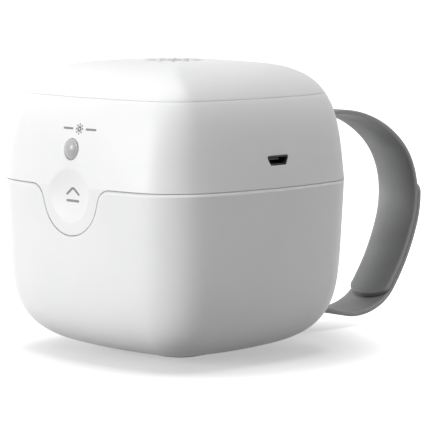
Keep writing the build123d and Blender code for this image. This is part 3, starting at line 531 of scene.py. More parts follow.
# %% Lid band
DISH_TOP_Z, BLOCK_TOP_Z = 55.35, 62.95
TAB_ROWS, BLOCK_ROWS, BAND_TOP_ROWS = 52, 16, 12
CAP_EDGE = 0.07
BUTTON_BLOCK_HALF, PORT_BLOCK_LOW_Z, PORT_BLOCK_HIGH_Z = 3.9, 54.5, 58.3

p, band_low_z, normals = columns(-offset)
band_high_z = np.full_like(p, CAP_SEAM_Z - CAP_GAP / 2 - CAP_EDGE)
level_up = np.tile([0.0, 1.0], (len(p), 1))
stretches = [
    (band_low_z, np.full_like(p, DISH_TOP_Z), TAB_ROWS),
    (np.full_like(p, DISH_TOP_Z), np.full_like(p, BLOCK_TOP_Z), BLOCK_ROWS),
    (np.full_like(p, BLOCK_TOP_Z), band_high_z, BAND_TOP_ROWS),
]
heights = [
    low + f * (high - low)
    for low, high, count in stretches
    for f in np.linspace(0, 1, count, endpoint=False)
] + [band_high_z]
outer = [press_dish(skin(p, z)) for z in heights]
inner = [skin(inner_p(p, z, WALL), z, WALL) for z in heights[::-1]]
upper_rim = rim_rows(p, band_high_z, level_up, CAP_EDGE)[:-1]
lower_rim = rim_rows(p, band_low_z, normals, EDGE)[:-1][::-1]
rows = outer + upper_rim + inner + lower_rim
points = np.vstack(rows)
column_count, row_count = len(p), len(outer)
inner_start = row_count + len(upper_rim)


def block_edge(low, high, left, right):
    """Row and column numbers round a block of the grid, counter-clockwise from its lower left."""
    across, up = np.arange(left, right), np.arange(low, high)
    row = np.concatenate([np.full_like(across, low), up, np.full_like(across, high), up[::-1] + 1])
    col = np.concatenate([across, np.full_like(up, right), across[::-1] + 1, np.full_like(up, left)])
    return row, col


def bore(points, quads, low, high, left, right, shape_of, place, radius):
    """Leaves a block of faces out of both skins and joins them through an opening."""
    row, col = block_edge(low, high, left, right)
    outer_ring = row * column_count + col
    inner_ring = (inner_start + row_count - 1 - row) * column_count + col
    block, inner_block = points[outer_ring], points[inner_ring]
    loops = hole_loops(block, inner_block, lambda grow: shape_of(len(row), grow, block), place, radius)
    made = len(points) + np.arange(len(loops) * len(row)).reshape(len(loops), -1)
    chain = np.vstack([outer_ring[None], made, inner_ring[None]])
    after = np.roll(chain, -1, 1)
    walls = np.stack([chain[:-1], after[:-1], after[1:], chain[1:]], -1).reshape(-1, 4)
    quad_row, quad_col = quads.min(1) // column_count, quads.min(1) % column_count
    level = np.where(quad_row < row_count, quad_row, inner_start + row_count - 2 - quad_row)
    on_inner = (quad_row >= inner_start) & (quad_row < inner_start + row_count - 1)
    on_skin = (quad_row < row_count - 1) | on_inner
    inside = on_skin & (level >= low) & (level < high) & (quad_col >= left) & (quad_col < right)
    return np.vstack([points] + loops), np.vstack([quads[~inside], walls])


def front_place(outline, inset, depth):
    """Puts a front-view outline, centred on the button, on a skin of the front and depth mm deeper."""
    x, z = outline[:, 0], outline[:, 1] + BUTTON_Z
    return np.stack([x, front_y_at(x, z, inset) + depth, z], -1)


def side_place(outline, inset, depth):
    """Puts a side-view outline, centred on the port, on a skin of the right side and depth mm deeper."""
    y, z = outline[:, 0], outline[:, 1] + PORT_Z
    return np.stack([side_x_at(y, z, inset) - depth, y, z], -1)


def start_angle(block, centre, axis):
    """The angle at which a block's first point stands round the opening's centre."""
    return np.arctan2(block[0, 2] - centre, block[0, axis])


quads = grid_faces(len(rows), column_count, close_rows=True)
middle = len(seam_points) // 2
button_reach = int(np.sum(np.abs(outer[TAB_ROWS][: len(seam_points), 0]) < BUTTON_BLOCK_HALF)) // 2
points, quads = bore(
    points, quads, TAB_ROWS, TAB_ROWS + BLOCK_ROWS, middle - button_reach, middle + button_reach,
    lambda count, grow, block: round_hole(count, BUTTON_HOLE_RADIUS + grow, start_angle(block, BUTTON_Z, 0)),
    front_place, HOLE_EDGE,
)
port_column = len(seam_points) + (FRONT_REST_STEPS - 1) + CORNER_STEPS + PORT_SIDE_STEPS + PORT_STEPS // 2
port_heights = np.array([z[port_column] for z in heights])
port_low = int(np.sum(port_heights < PORT_BLOCK_LOW_Z)) - 1
port_high = int(np.sum(port_heights < PORT_BLOCK_HIGH_Z)) + 1
points, quads = bore(
    points, quads, port_low, port_high,
    port_column - PORT_STEPS // 2, port_column + PORT_STEPS // 2,
    lambda count, grow, block: rounded_polygon(
        port_corners(), PORT_CORNER, grow, count, start_angle(block, PORT_Z, 1)
    ),
    side_place, PORT_EDGE,
)
lid_band = mesh_object("case_lid_band", points, quads)
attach(lid_band, "lid")
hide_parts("lid_band")
print("lid band faces:", len(lid_band.data.polygons))

# %% [markdown]
# ## The lid cap
#
# The cap is the crown of the same form. Its seam is a little thinner than the parting line, because
# cap and band stay together on the lid. The rows start at the crown's inside and end on its top.

# %% Lid cap
CAP_ROWS = 56
CROWN_STOP = 0.0025

cap_p = columns(0.0)[0]
cap_low = CAP_SEAM_Z + CAP_GAP / 2 + CAP_EDGE
cap_z = even_levels(cap_low, HEIGHT - CROWN_STOP, CAP_ROWS)
inner_z = even_levels(cap_low, HEIGHT - WALL - CROWN_STOP, CAP_ROWS // 2, WALL)
level_down = np.tile([0.0, -1.0], (len(cap_p), 1))
cap_rows = (
    [skin(cap_p, np.full_like(cap_p, z), WALL) for z in inner_z[:0:-1]]
    + rim_rows(cap_p, np.full_like(cap_p, cap_low), level_down, CAP_EDGE)[::-1]
    + [skin(cap_p, np.full_like(cap_p, z)) for z in cap_z]
)
lid_cap = poled_object("case_lid_cap", cap_rows, [[0, 0, HEIGHT - WALL]], [[0, 0, HEIGHT]])
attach(lid_cap, "lid")
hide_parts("lid_cap")
print("lid cap faces:", len(lid_cap.data.polygons))

# %% [markdown]
# ## Hinge knuckles and the tab's backing
#
# Behind the case, two barrels on the lid turn between four on the base. Each is a round eye with a
# web that runs into its shell: one outline in the side view, carried along the pin. A bevel rounds
# its edges, and each pin's ends stand a little proud, so that no two faces lie in one plane.
# In front, a second wall closes the notch in the base that the tab folds over.

# %% Knuckles
HINGE_OUT, BARREL_RADIUS, KNUCKLE_WEB = 2.1, 2.6, 6.0
HINGE_Y = DEPTH / 2 + HINGE_OUT
PIN_START_X, PIN_PROUD, OUTER_KNUCKLE, LID_KNUCKLE, KNUCKLE_GAP = 9.3, 0.08, 3.2, 5.6, 0.2
FIRST_BASE_X, BASE_KNUCKLE = PIN_START_X + PIN_PROUD, OUTER_KNUCKLE - PIN_PROUD
LID_KNUCKLE_X = FIRST_BASE_X + BASE_KNUCKLE + KNUCKLE_GAP
LAST_BASE_X = LID_KNUCKLE_X + LID_KNUCKLE + KNUCKLE_GAP
KNUCKLE_STEPS, KNUCKLE_BEVEL, BEVEL_SEGMENTS, BEVEL_DEGREES = 28, 0.00025, 2, 35


def bevel(piece, width):
    """Rounds a piece's sharp edges and keeps its flats flat."""
    modifier = piece.modifiers.new("round_edges", "BEVEL")
    modifier.width = width
    modifier.segments = BEVEL_SEGMENTS
    modifier.limit_method = "ANGLE"
    modifier.angle_limit = np.radians(BEVEL_DEGREES)
    modifier.harden_normals = True
    return piece


def knuckles(name, starts, length, side):
    """Barrels with webs: the outline is the far half of a circle and a block that reaches into the wall.

    side is 1 for webs above the pin and -1 for webs below it."""
    a = side * np.linspace(-np.pi / 2, np.pi / 2, KNUCKLE_STEPS)
    round_y, round_z = HINGE_Y + BARREL_RADIUS * np.cos(a), PARTING_Z + BARREL_RADIUS * np.sin(a)
    wall_y, inner_y = HINGE_Y - BARREL_RADIUS, DEPTH / 2 - WALL
    web_z = PARTING_Z + side * KNUCKLE_WEB
    near_z = PARTING_Z + side * BARREL_RADIUS / 2
    low_a = side * np.linspace(-np.pi / 2, -np.pi, KNUCKLE_STEPS // 2)[1:]
    low_y, low_z = HINGE_Y + BARREL_RADIUS * np.cos(low_a), PARTING_Z + BARREL_RADIUS * np.sin(low_a)
    y = np.concatenate([round_y, [wall_y, inner_y, inner_y, wall_y], low_y[::-1]])
    z = np.concatenate([round_z, [web_z, web_z, near_z, near_z], low_z[::-1]])
    if side < 0:
        y, z = y[::-1], z[::-1]
    count = len(y)
    points, quads, ends = [], [], []
    for number, x in enumerate(starts):
        for at in (x, x + length):
            points.append(np.stack([np.full(count, at), y, z], -1))
        first = 2 * number * count
        quads.append(grid_faces(2, count, first=first)[:, ::-1])
        ring = list(range(first, first + count))
        ends.append(ring[::-1])
        ends.append([k + count for k in ring])
    mesh = bpy.data.meshes.new(name)
    faces = [f.tolist() for f in np.vstack(quads)] + ends
    mesh.from_pydata((MM * np.vstack(points)).tolist(), [], faces)
    return bevel(linked(name, mesh), KNUCKLE_BEVEL)


def both_sides(start, length):
    """A stretch's start on the right side and on the left."""
    return [start, -start - length]


base_starts = both_sides(FIRST_BASE_X, BASE_KNUCKLE) + both_sides(LAST_BASE_X, BASE_KNUCKLE)
base_knuckles = knuckles("base_knuckles", base_starts, BASE_KNUCKLE, -1)
lid_knuckles = knuckles("lid_knuckles", both_sides(LID_KNUCKLE_X, LID_KNUCKLE), LID_KNUCKLE, 1)
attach(base_knuckles, "base")
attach(lid_knuckles, "lid")
print("knuckle faces:", len(base_knuckles.data.polygons) + len(lid_knuckles.data.polygons))

# %% Backing of the tab's notch
PAD_WALL, PAD_ROWS, PAD_TOP_Z = 1.6, 30, PARTING_Z - SEAM_GAP / 2
PAD_SIDE, PAD_LEAST_HEIGHT = 1.2, 0.5


def tab_backing():
    """A curved plate behind the notch: the tab's outline, grown by the plate's edge, on two inner skins."""
    keep = np.abs(seam_points[:, 0]) < TAB_MOUTH + PAD_SIDE
    grown = seam_points[keep] + (SEAM_GAP / 2 + PAD_WALL) * seam_normals[keep]
    low_x, low_z = grown[:, 0], np.minimum(grown[:, 1], PAD_TOP_Z - PAD_LEAST_HEIGHT)
    f = np.linspace(0, 1, PAD_ROWS)[:, None]
    z = low_z + f * (PAD_TOP_Z - low_z)
    x = low_x + 0 * f
    sheets = []
    for inset in (WALL + BODY_GAP, WALL + BODY_GAP + PAD_WALL):
        sheets.append(np.stack([x, front_y_at(x, z, inset), z], -1))
    rows, cols = z.shape
    faces = grid_faces(rows, cols, close_columns=False)
    row, col = block_edge(0, rows - 1, 0, cols - 1)
    ring = row * cols + col
    edge = np.stack([ring, ring + rows * cols, np.roll(ring, -1) + rows * cols, np.roll(ring, -1)], -1)
    points = np.vstack([sheet.reshape(-1, 3) for sheet in sheets])
    quads = np.vstack([faces, faces[:, ::-1] + rows * cols, edge])
    return mesh_object("tab_backing", points, quads, smooth=False)


backing = tab_backing()
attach(backing, "base")
print("backing faces:", len(backing.data.polygons))

# %% [markdown]
# ## The button
#
# The button is turned: one profile carried round its axis. Its face is a shallow ball with a rounded
# edge, and behind the wall a flange keeps it from falling out. The flange is 0.1 mm smaller in radius
# than the CAD's, which clears the board when the button is pressed. It rides on its own body.

# %% Button
BUTTON_RADIUS, BUTTON_DOME, BUTTON_EDGE = 2.86, 1.1, 0.3
FLANGE_RADIUS, FLANGE, STEM_RADIUS, STEM_LENGTH = 3.9, 0.8, 1.4, 0.9
BUTTON_SEGMENTS, DOME_STEPS, EDGE_STEPS = 72, 12, 6
EDGE_INSET, EDGE_START = 0.75, 0.15


def turned(name, profile, centre_z, segments):
    """A closed piece turned about the line along Y at centre_z; profile is rows of (radius, y)."""
    a = -np.linspace(0, 2 * np.pi, segments, endpoint=False)
    r, y = np.array(profile)[:, :1], np.array(profile)[:, 1:]
    x, z = r * np.cos(a), centre_z + r * np.sin(a)
    points = np.stack([x, y + 0 * x, z], -1)
    rows = list(points[1:-1])
    quads = grid_faces(len(rows), segments)[:, ::-1]
    ring = np.arange(segments)
    count = len(rows) * segments
    fans = np.vstack([fan_faces(ring, count), fan_faces(count - segments + ring, count + 1, flip=True)])
    return mesh_object(name, np.vstack(rows + [points[0, :1], points[-1, :1]]), quads, fans)


def button_profile():
    """Ball, rounded edge, side, flange and stem, from the front's middle to the stem's end."""
    face_y = front_y_at(np.zeros(1), np.full(1, BUTTON_Z))[0]
    ball = (BUTTON_RADIUS**2 + BUTTON_DOME**2) / (2 * BUTTON_DOME)
    flat = BUTTON_RADIUS - EDGE_INSET * BUTTON_EDGE
    r = np.linspace(0, flat, DOME_STEPS)
    dome = np.stack([r, face_y - BUTTON_DOME + ball - np.sqrt(ball**2 - r**2)], -1)
    a = np.linspace(EDGE_START, 1, EDGE_STEPS) * np.pi / 2
    low = dome[-1, 1] + BUTTON_EDGE
    edge = np.stack([flat + (BUTTON_RADIUS - flat) * np.sin(a), low - BUTTON_EDGE * np.cos(a)], -1)
    flange_y = front_y_at(np.zeros(1), np.full(1, BUTTON_Z + FLANGE_RADIUS), WALL)[0] + BODY_GAP
    stem_y = flange_y + FLANGE
    back = [
        (BUTTON_RADIUS, flange_y), (FLANGE_RADIUS, flange_y), (FLANGE_RADIUS, stem_y),
        (STEM_RADIUS, stem_y), (STEM_RADIUS, stem_y + STEM_LENGTH), (0.0, stem_y + STEM_LENGTH),
    ]
    return np.vstack([dome, edge, back])


button = turned("button_face", button_profile(), BUTTON_Z, BUTTON_SEGMENTS)
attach(button, "button")
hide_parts("press_button")
print("button faces:", len(button.data.polygons))

# %% [markdown]
# ## The strap
#
# The strap is one soft band of grey silicone, 15.5 mm wide and 1.3 mm thick. It runs behind the
# bracket's bar, out in a big loop, and its two rounded ends lap over each other at the lower right,
# where two studs hold them. Its middle line is a chain of arcs, each tangent to the last, because
# a bent elastic band takes up smooth bends and no corners. The section is a rounded rectangle.

# %% Strap line
STRAP_WIDTH, STRAP_THICKNESS, LAYER_GAP = 15.5, 1.3, 0.1
STRAP_OUT, BAR_MIDDLE_Z, RISE_Z = 1.1, 34.0, 46.3
STRAP_Y = DEPTH / 2 + STRAP_OUT
UPPER_BENDS = ((18.5, 90.0), (42.6, 29.8), (35.7, 12.7), (22.2, 35.5))
LAP_BENDS = ((22.2, 12.0), (26.6, 19.0), (60.3, 20.2), (13.6, 21.0))
LOWER_BENDS = ((15.0, 4.4), (23.7, 41.0))
LOWER_RUN = 7.2
STRAP_STEP, UPRIGHT_POINTS, RUN_POINTS = 1.2, 12, 8


def carry_on(line, bends):
    """Adds arcs to a line of (y, z) points: each (radius, degrees) bend goes on from the last heading.

    A positive bend turns clockwise. The point is centre + R(turn)(start - centre)."""
    at, heading = line[0][-1], line[1]
    points = [line[0]]
    for radius, degrees in bends:
        turn = -np.radians(degrees)
        side = np.sign(degrees) * np.array([heading[1], -heading[0]])
        centre = at + radius * side
        t = np.linspace(0, turn, max(3, int(radius * abs(turn) / STRAP_STEP)))[1:, None]
        arm, cos_t, sin_t = at - centre, np.cos(t), np.sin(t)
        swung = np.hstack([arm[0] * cos_t - arm[1] * sin_t, arm[0] * sin_t + arm[1] * cos_t])
        points.append(centre + swung)
        at = points[-1][-1]
        c, s = np.cos(turn), np.sin(turn)
        heading = np.array([heading[0] * c - heading[1] * s, heading[0] * s + heading[1] * c])
    return np.vstack(points), heading


def upright(start_z, end_z):
    """Points straight up or down behind the rear wall, at the strap's distance from it."""
    return np.stack([np.full(UPRIGHT_POINTS, STRAP_Y), np.linspace(start_z, end_z, UPRIGHT_POINTS)], -1)


def strap_lines():
    """The band's middle line from its inner tip, round the bracket, to its outer tip."""
    rise = upright(BAR_MIDDLE_Z, RISE_Z)
    upper, heading = carry_on((rise, np.array([0.0, 1.0])), UPPER_BENDS + LAP_BENDS)
    pitch = STRAP_THICKNESS + LAYER_GAP
    outer_start = upper[-1] + pitch * np.array([-heading[1], heading[0]])
    lap_back = [(radius + pitch, -turn) for radius, turn in LAP_BENDS[::-1]]
    lap, _ = carry_on((outer_start[None], -heading), lap_back)
    lower, down = carry_on((outer_start[None], heading), LOWER_BENDS)
    run_end = lower[-1] + LOWER_RUN * down
    run = lower[-1] + np.linspace(0, 1, RUN_POINTS)[1:, None] * (run_end - lower[-1])
    closing_radius = (run_end[0] - STRAP_Y) / (1 - down[1])
    closing, _ = carry_on((run_end[None], down), [(closing_radius, 90 - np.degrees(np.arcsin(down[1])))])
    last = upright(closing[-1, 1], BAR_MIDDLE_Z)[1:-1]
    way_down = np.vstack([lower, run, closing[1:], last])
    return np.vstack([upper[::-1], way_down[::-1], lap[1:]])


strap_line = strap_lines()
strap_length = lengths_along(strap_line)[-1]
print("strap length in mm:", round(strap_length, 1), "points:", len(strap_line))

# %% Strap band
STRAP_EDGE, SECTION_STEPS, STRAP_ROWS, TIP_ROWS = 0.45, 5, 280, 18
TIP_LENGTH, TIP_START, TANGENT_REACH = 4.4, 0.12, 0.6


def resampled(line, count, tip):
    """Points and tangents at even steps along a line, with extra steps over each end's tip."""
    run = lengths_along(line)
    near = tip * (1 - np.cos(np.linspace(TIP_START, np.pi / 2, TIP_ROWS)))
    s = np.concatenate([near, np.linspace(near[-1], run[-1] - near[-1], count)[1:-1], run[-1] - near[::-1]])
    at = points_at(line, run, s)
    ahead = points_at(line, run, s + TANGENT_REACH)
    behind = points_at(line, run, s - TANGENT_REACH)
    tangent = (ahead - behind) / np.linalg.norm(ahead - behind, axis=1, keepdims=True)
    return s, run[-1], at, tangent


def section(half_width, half_thick, edge):
    """Rows of (x, n) round a rounded rectangle whose half width changes from row to row."""
    a = np.linspace(0, np.pi / 2, SECTION_STEPS)
    quarter_x, quarter_n = np.cos(a), np.sin(a)
    signs = [(1, 1), (-1, 1), (-1, -1), (1, -1)]
    x, n = [], []
    for number, (sx, sn) in enumerate(signs):
        order = slice(None) if number % 2 == 0 else slice(None, None, -1)
        inner = np.maximum(half_width - edge, 0)[:, None]
        reach = np.minimum(edge, half_width)[:, None]
        x.append(sx * (inner + reach * quarter_x[order]))
        n.append(sn * (half_thick - edge + edge * quarter_n[order]) + 0 * inner)
    return np.hstack(x), np.hstack(n)


def strap_band():
    """The band: a rounded section along the line, narrowed to half an ellipse at each tip.

    The half width is half the strap's times sqrt(1 - (1 - left / tip)^2), left being the way to the end."""
    s, length, at, tangent = resampled(strap_line, STRAP_ROWS, TIP_LENGTH)
    left = np.minimum(np.minimum(s, length - s), TIP_LENGTH)
    half = STRAP_WIDTH / 2 * np.sqrt(1 - (1 - left / TIP_LENGTH) ** 2)
    x, n = section(half, STRAP_THICKNESS / 2, STRAP_EDGE)
    normal = np.stack([-tangent[:, 1], tangent[:, 0]], -1)
    y = at[:, :1] + n * normal[:, :1]
    z = at[:, 1:] + n * normal[:, 1:]
    points = np.stack([x, y, z], -1)
    rows = list(points)
    ends = [rows[0].mean(0, keepdims=True), rows[-1].mean(0, keepdims=True)]
    piece = poled_object("strap_band", rows, *ends)
    uv = piece.data.attributes.new("along_across", "FLOAT_VECTOR", "POINT")
    values = np.stack([x, n, s[:, None] + 0 * x], -1).reshape(-1, 3)
    values = np.vstack([values, np.zeros((2, 3))])
    uv.data.foreach_set("vector", (MM * values).astype(np.float32).ravel())
    return piece


strap = strap_band()
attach(strap, "base")
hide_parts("strap")
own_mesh(strap)
print("strap faces:", len(strap.data.polygons))

# %% [markdown]
# ## Printed marks
#
# Three small grey prints sit on the lid: a light with rays above the button, an arrowhead over a bar
# in the thumb dish, which means open, and a ring with rays on the crown. Pad printing leaves a film
# of ink that follows the surface. Each print is a set of strokes: a line with a width and round
# ends, as a thin slab that is sunk a little into the wall, so that nothing hangs above it.

# %% Strokes
INK_PROUD, INK_SUNK = 0.03, 0.05
STROKE_STEPS, STROKE_TIP, CIRCLE_TURN = 26, 0.1, 2.15


def stroke(line, width):
    """Left and right edges along a line of (u, v): half the width, drawn in to half circles at the ends."""
    run = lengths_along(line)
    s = run[-1] * 0.5 * (1 - np.cos(np.linspace(STROKE_TIP, np.pi - STROKE_TIP, STROKE_STEPS)))
    at = points_at(line, run, s)
    heading = np.gradient(at, axis=0)
    heading /= np.linalg.norm(heading, axis=1, keepdims=True)
    half = width / 2
    left = np.minimum(np.minimum(s, run[-1] - s), half)
    reach = np.sqrt(half**2 - (half - left) ** 2)[:, None]
    side = np.stack([-heading[:, 1], heading[:, 0]], -1)
    return at + reach * side, at - reach * side


def straight(start, end):
    """A straight line of points from start to end."""
    return np.array(start) + np.linspace(0, 1, STROKE_STEPS)[:, None] * (np.array(end) - np.array(start))


def rays(count, inner, outer, first=0.0):
    """Straight lines that stand round a centre like a clock's marks."""
    a = first + np.linspace(0, 2 * np.pi, count, endpoint=False)
    return [straight(inner * way, outer * way) for way in np.stack([np.cos(a), np.sin(a)], -1)]


def circle(radius):
    """A circle's points, with a little overlap so that the ends of its stroke meet."""
    a = np.linspace(0, CIRCLE_TURN * np.pi, 4 * STROKE_STEPS)
    return radius * np.stack([np.cos(a), np.sin(a)], -1)


def printed_mark(name, lines, width, place):
    """Strokes as closed slabs: place(outline, lift) puts (u, v) on the lid and lifts it off the wall."""
    points, quads, fans = [], [], []
    count = 0
    for line in lines:
        left, right = stroke(line, width)
        corners = ((left, INK_PROUD), (right, INK_PROUD), (right, -INK_SUNK), (left, -INK_SUNK))
        rows = list(np.stack([place(edge, lift) for edge, lift in corners], 1))
        arrays = poled_arrays(rows, [rows[0].mean(0)], [rows[-1].mean(0)])
        points.append(arrays[0])
        quads.append(arrays[1] + count)
        fans.append(arrays[2] + count)
        count += len(arrays[0])
    mark = mesh_object(name, np.vstack(points), np.vstack(quads), np.vstack(fans), smooth=False)
    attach(mark, "lid")
    return mark


# %% Marks on the lid
LIGHT_MARK_X, LIGHT_MARK_Z, OPEN_MARK_X, OPEN_MARK_Z = 2.3, 64.75, 0.5, 46.6
LIGHT_DISC, LIGHT_RAYS, DASH_START, DASH_END = 0.55, (8, 1.0, 1.5), 2.5, 6.6
ARROW_HALF, ARROW_TIP, ARROW_FOOT, BAR_DROP = 2.7, 2.1, 0.1, -1.5
CROWN_RINGS, CROWN_RAYS = (4.0, 1.6), (12, 5.4, 8.6, np.pi / 12)
LIGHT_STROKE, OPEN_STROKE, CROWN_STROKE = 0.55, 0.68, 0.7
CROWN_DROP, CROWN_SAMPLES = 6.0, 600


def on_front(centre_x, centre_z):
    """Places marks on the front: y is the wall's, pressed in where the dish is, less the lift."""

    def place(outline, lift):
        x, z = outline[:, 0] + centre_x, outline[:, 1] + centre_z
        wall = press_dish(np.stack([x, front_y_at(x, z), z], -1))
        return wall - np.array([0.0, lift, 0.0])

    return place


def on_crown(outline, lift):
    """Places marks on the crown: z is where the section's share matches the point's way out."""
    x, y = outline[:, 0], outline[:, 1]
    level = HEIGHT - np.linspace(CROWN_DROP, 0, CROWN_SAMPLES) ** 2 / CROWN_DROP
    out = np.maximum(np.abs(x) / (WIDTH / 2), 1 - (DEPTH / 2 - np.abs(y)) / (WIDTH / 2))
    z = np.interp(-out, -share(level), level)
    return np.stack([x, y, z + lift], -1)


light_lines = [circle(LIGHT_DISC)] + rays(*LIGHT_RAYS)
light_lines += [straight((-DASH_END, 0), (-DASH_START, 0)), straight((DASH_START, 0), (DASH_END, 0))]
open_lines = [
    straight((-ARROW_HALF, ARROW_FOOT), (0, ARROW_TIP)),
    straight((0, ARROW_TIP), (ARROW_HALF, ARROW_FOOT)),
    straight((-ARROW_HALF, BAR_DROP), (ARROW_HALF, BAR_DROP)),
]
crown_lines = [circle(radius) for radius in CROWN_RINGS] + rays(*CROWN_RAYS)
marks = [
    printed_mark("light_mark", light_lines, LIGHT_STROKE, on_front(LIGHT_MARK_X, LIGHT_MARK_Z)),
    printed_mark("open_mark", open_lines, OPEN_STROKE, on_front(OPEN_MARK_X, OPEN_MARK_Z)),
    printed_mark("crown_mark", crown_lines, CROWN_STROKE, on_crown),
]
print("mark faces:", [len(mark.data.polygons) for mark in marks])

# %% [markdown]
# ## Finishes
#
# Each finish is one Principled shader. A value that is the same all over sits on the shader's own
# socket, and noise changes the rest: a faint cloud in the colour, gloss that varies where hands rub,
# and a fine bump for the grain of the mould. Object coordinates are metres, so a noise scale of
# 1000 gives a grain of about a millimetre, and the grain stays with the piece when it moves.

# %% Node helpers
MICRON = 0.000001


def node_material(name):
    """A material with an empty node tree."""
    material = bpy.data.materials.new(name)
    material.use_nodes = True
    material.node_tree.nodes.clear()
    return material, material.node_tree.nodes, material.node_tree.links


def finish(name, even=()):
    """A Principled material. Each even value is a pair of a socket's name and its number."""
    material, nodes, links = node_material(name)
    output = nodes.new("ShaderNodeOutputMaterial")
    shader = nodes.new("ShaderNodeBsdfPrincipled")
    links.new(shader.outputs[0], output.inputs["Surface"])
    for socket, value in even:
        shader.inputs[socket].default_value = value
    return material


def shader_of(material):
    """The material's Principled shader, its nodes and its links."""
    nodes = material.node_tree.nodes
    return next(n for n in nodes if n.type == "BSDF_PRINCIPLED"), nodes, material.node_tree.links


def own_place(material, stretch=(1, 1, 1), attribute=None):
    """The piece's own coordinates, Object or a stored attribute, multiplied along each axis by stretch."""
    _, nodes, links = shader_of(material)
    if attribute:
        source = nodes.new("ShaderNodeAttribute")
        source.attribute_name = attribute
        vector = source.outputs["Vector"]
    else:
        vector = nodes.new("ShaderNodeTexCoord").outputs["Object"]
    mapping = nodes.new("ShaderNodeMapping")
    mapping.inputs["Scale"].default_value = stretch
    links.new(vector, mapping.inputs["Vector"])
    return mapping.outputs["Vector"]


def noise(material, scale, detail, place=None):
    """Noise between 0 and 1 at so many waves a metre."""
    _, nodes, links = shader_of(material)
    texture = nodes.new("ShaderNodeTexNoise")
    texture.inputs["Scale"].default_value = scale
    texture.inputs["Detail"].default_value = detail
    links.new(place or own_place(material), texture.inputs["Vector"])
    return texture.outputs["Fac"]


def cells(material, scale):
    """Cell pattern: the way to the nearest cell wall, at so many cells a metre."""
    _, nodes, links = shader_of(material)
    texture = nodes.new("ShaderNodeTexVoronoi")
    texture.feature = "DISTANCE_TO_EDGE"
    texture.inputs["Scale"].default_value = scale
    links.new(own_place(material), texture.inputs["Vector"])
    return texture.outputs["Distance"]


def maths(nodes, links, operation, *values):
    """The result of a Math node with these sockets as its values."""
    node = nodes.new("ShaderNodeMath")
    node.operation = operation
    for value, socket in zip(values, node.inputs):
        links.new(value, socket)
    return node.outputs[0]


def smooth_range(nodes, links, value, low, high, start, end):
    """start below low, end above high, and smooth between them."""
    node = nodes.new("ShaderNodeMapRange")
    node.interpolation_type = "SMOOTHSTEP"
    for socket, number in zip(("From Min", "From Max", "To Min", "To Max"), (low, high, start, end)):
        node.inputs[socket].default_value = number
    links.new(value, node.inputs["Value"])
    return node.outputs["Result"]


def ramp(material, value, low, high, start, end):
    """The same smooth range among a material's own nodes."""
    _, nodes, links = shader_of(material)
    return smooth_range(nodes, links, value, low, high, start, end)


def mixed(material, value, first, second):
    """A colour from first to second as value goes from 0 to 1. First is a colour or a colour socket."""
    _, nodes, links = shader_of(material)
    node = nodes.new("ShaderNodeMix")
    node.data_type = "RGBA"
    colours = [socket for socket in node.inputs if socket.type == "RGBA"]
    if isinstance(first, tuple):
        colours[0].default_value = (*first, 1)
    else:
        links.new(first, colours[0])
    colours[1].default_value = (*second, 1)
    links.new(value, node.inputs[0])
    return next(socket for socket in node.outputs if socket.type == "RGBA")


def tint(material, value, first, second):
    """The base colour goes from first to second as value goes from 0 to 1."""
    shader, _, links = shader_of(material)
    links.new(mixed(material, value, first, second), shader.inputs["Base Color"])


def gloss(material, value, smooth, rough, low=0.35, high=0.65):
    """The roughness goes from smooth to rough as value goes from low to high."""
    shader, _, links = shader_of(material)
    links.new(ramp(material, value, low, high, smooth, rough), shader.inputs["Roughness"])


def grain(material, value, depth):
    """A bump of depth metres where value is 1, laid over the bumps already there."""
    shader, nodes, links = shader_of(material)
    node = nodes.new("ShaderNodeBump")
    node.inputs["Strength"].default_value = 1.0
    node.inputs["Distance"].default_value = depth
    links.new(value, node.inputs["Height"])
    if shader.inputs["Normal"].is_linked:
        links.new(shader.inputs["Normal"].links[0].from_socket, node.inputs["Normal"])
    links.new(node.outputs["Normal"], shader.inputs["Normal"])


print("deepest mould wave in mm:", 20 * MICRON / MM)

# %% [markdown]
# ### White plastic and grey silicone
#
# The shells are taken to be white ABS from a polished mould with a very fine spark texture: half
# gloss, with a slight wave where the wall shrank. The strap is matt silicone. Its grain runs along
# the band, dust and handling change its shade a little, and its edges are painted lighter: a painted
# highlight where the rounded edges catch the light. It reads its own place along and across the band,
# which the mesh carries as an attribute.

# %% Finishes of the outside
# How far in from the strap's edge the painted highlight starts and where it is full, in mm.
EDGE_HIGHLIGHT_START, EDGE_HIGHLIGHT_END, BAND_STRETCH = 1.1, 0.1, (1, 1, 0.12)


def moulded(name, dark, light, smooth, rough, texture_depth):
    """Moulded plastic: cloudy colour, gloss in patches, a slow sink wave and a fine mould texture."""
    material = finish(name, [("IOR", 1.4)])
    cloud = noise(material, scale=45, detail=4)
    tint(material, ramp(material, cloud, 0.35, 0.65, 0, 1), dark, light)
    gloss(material, noise(material, scale=35, detail=1), smooth, rough, low=0.2, high=0.8)
    grain(material, noise(material, scale=50, detail=1), 20 * MICRON)
    grain(material, noise(material, scale=4500, detail=3), texture_depth)
    return material


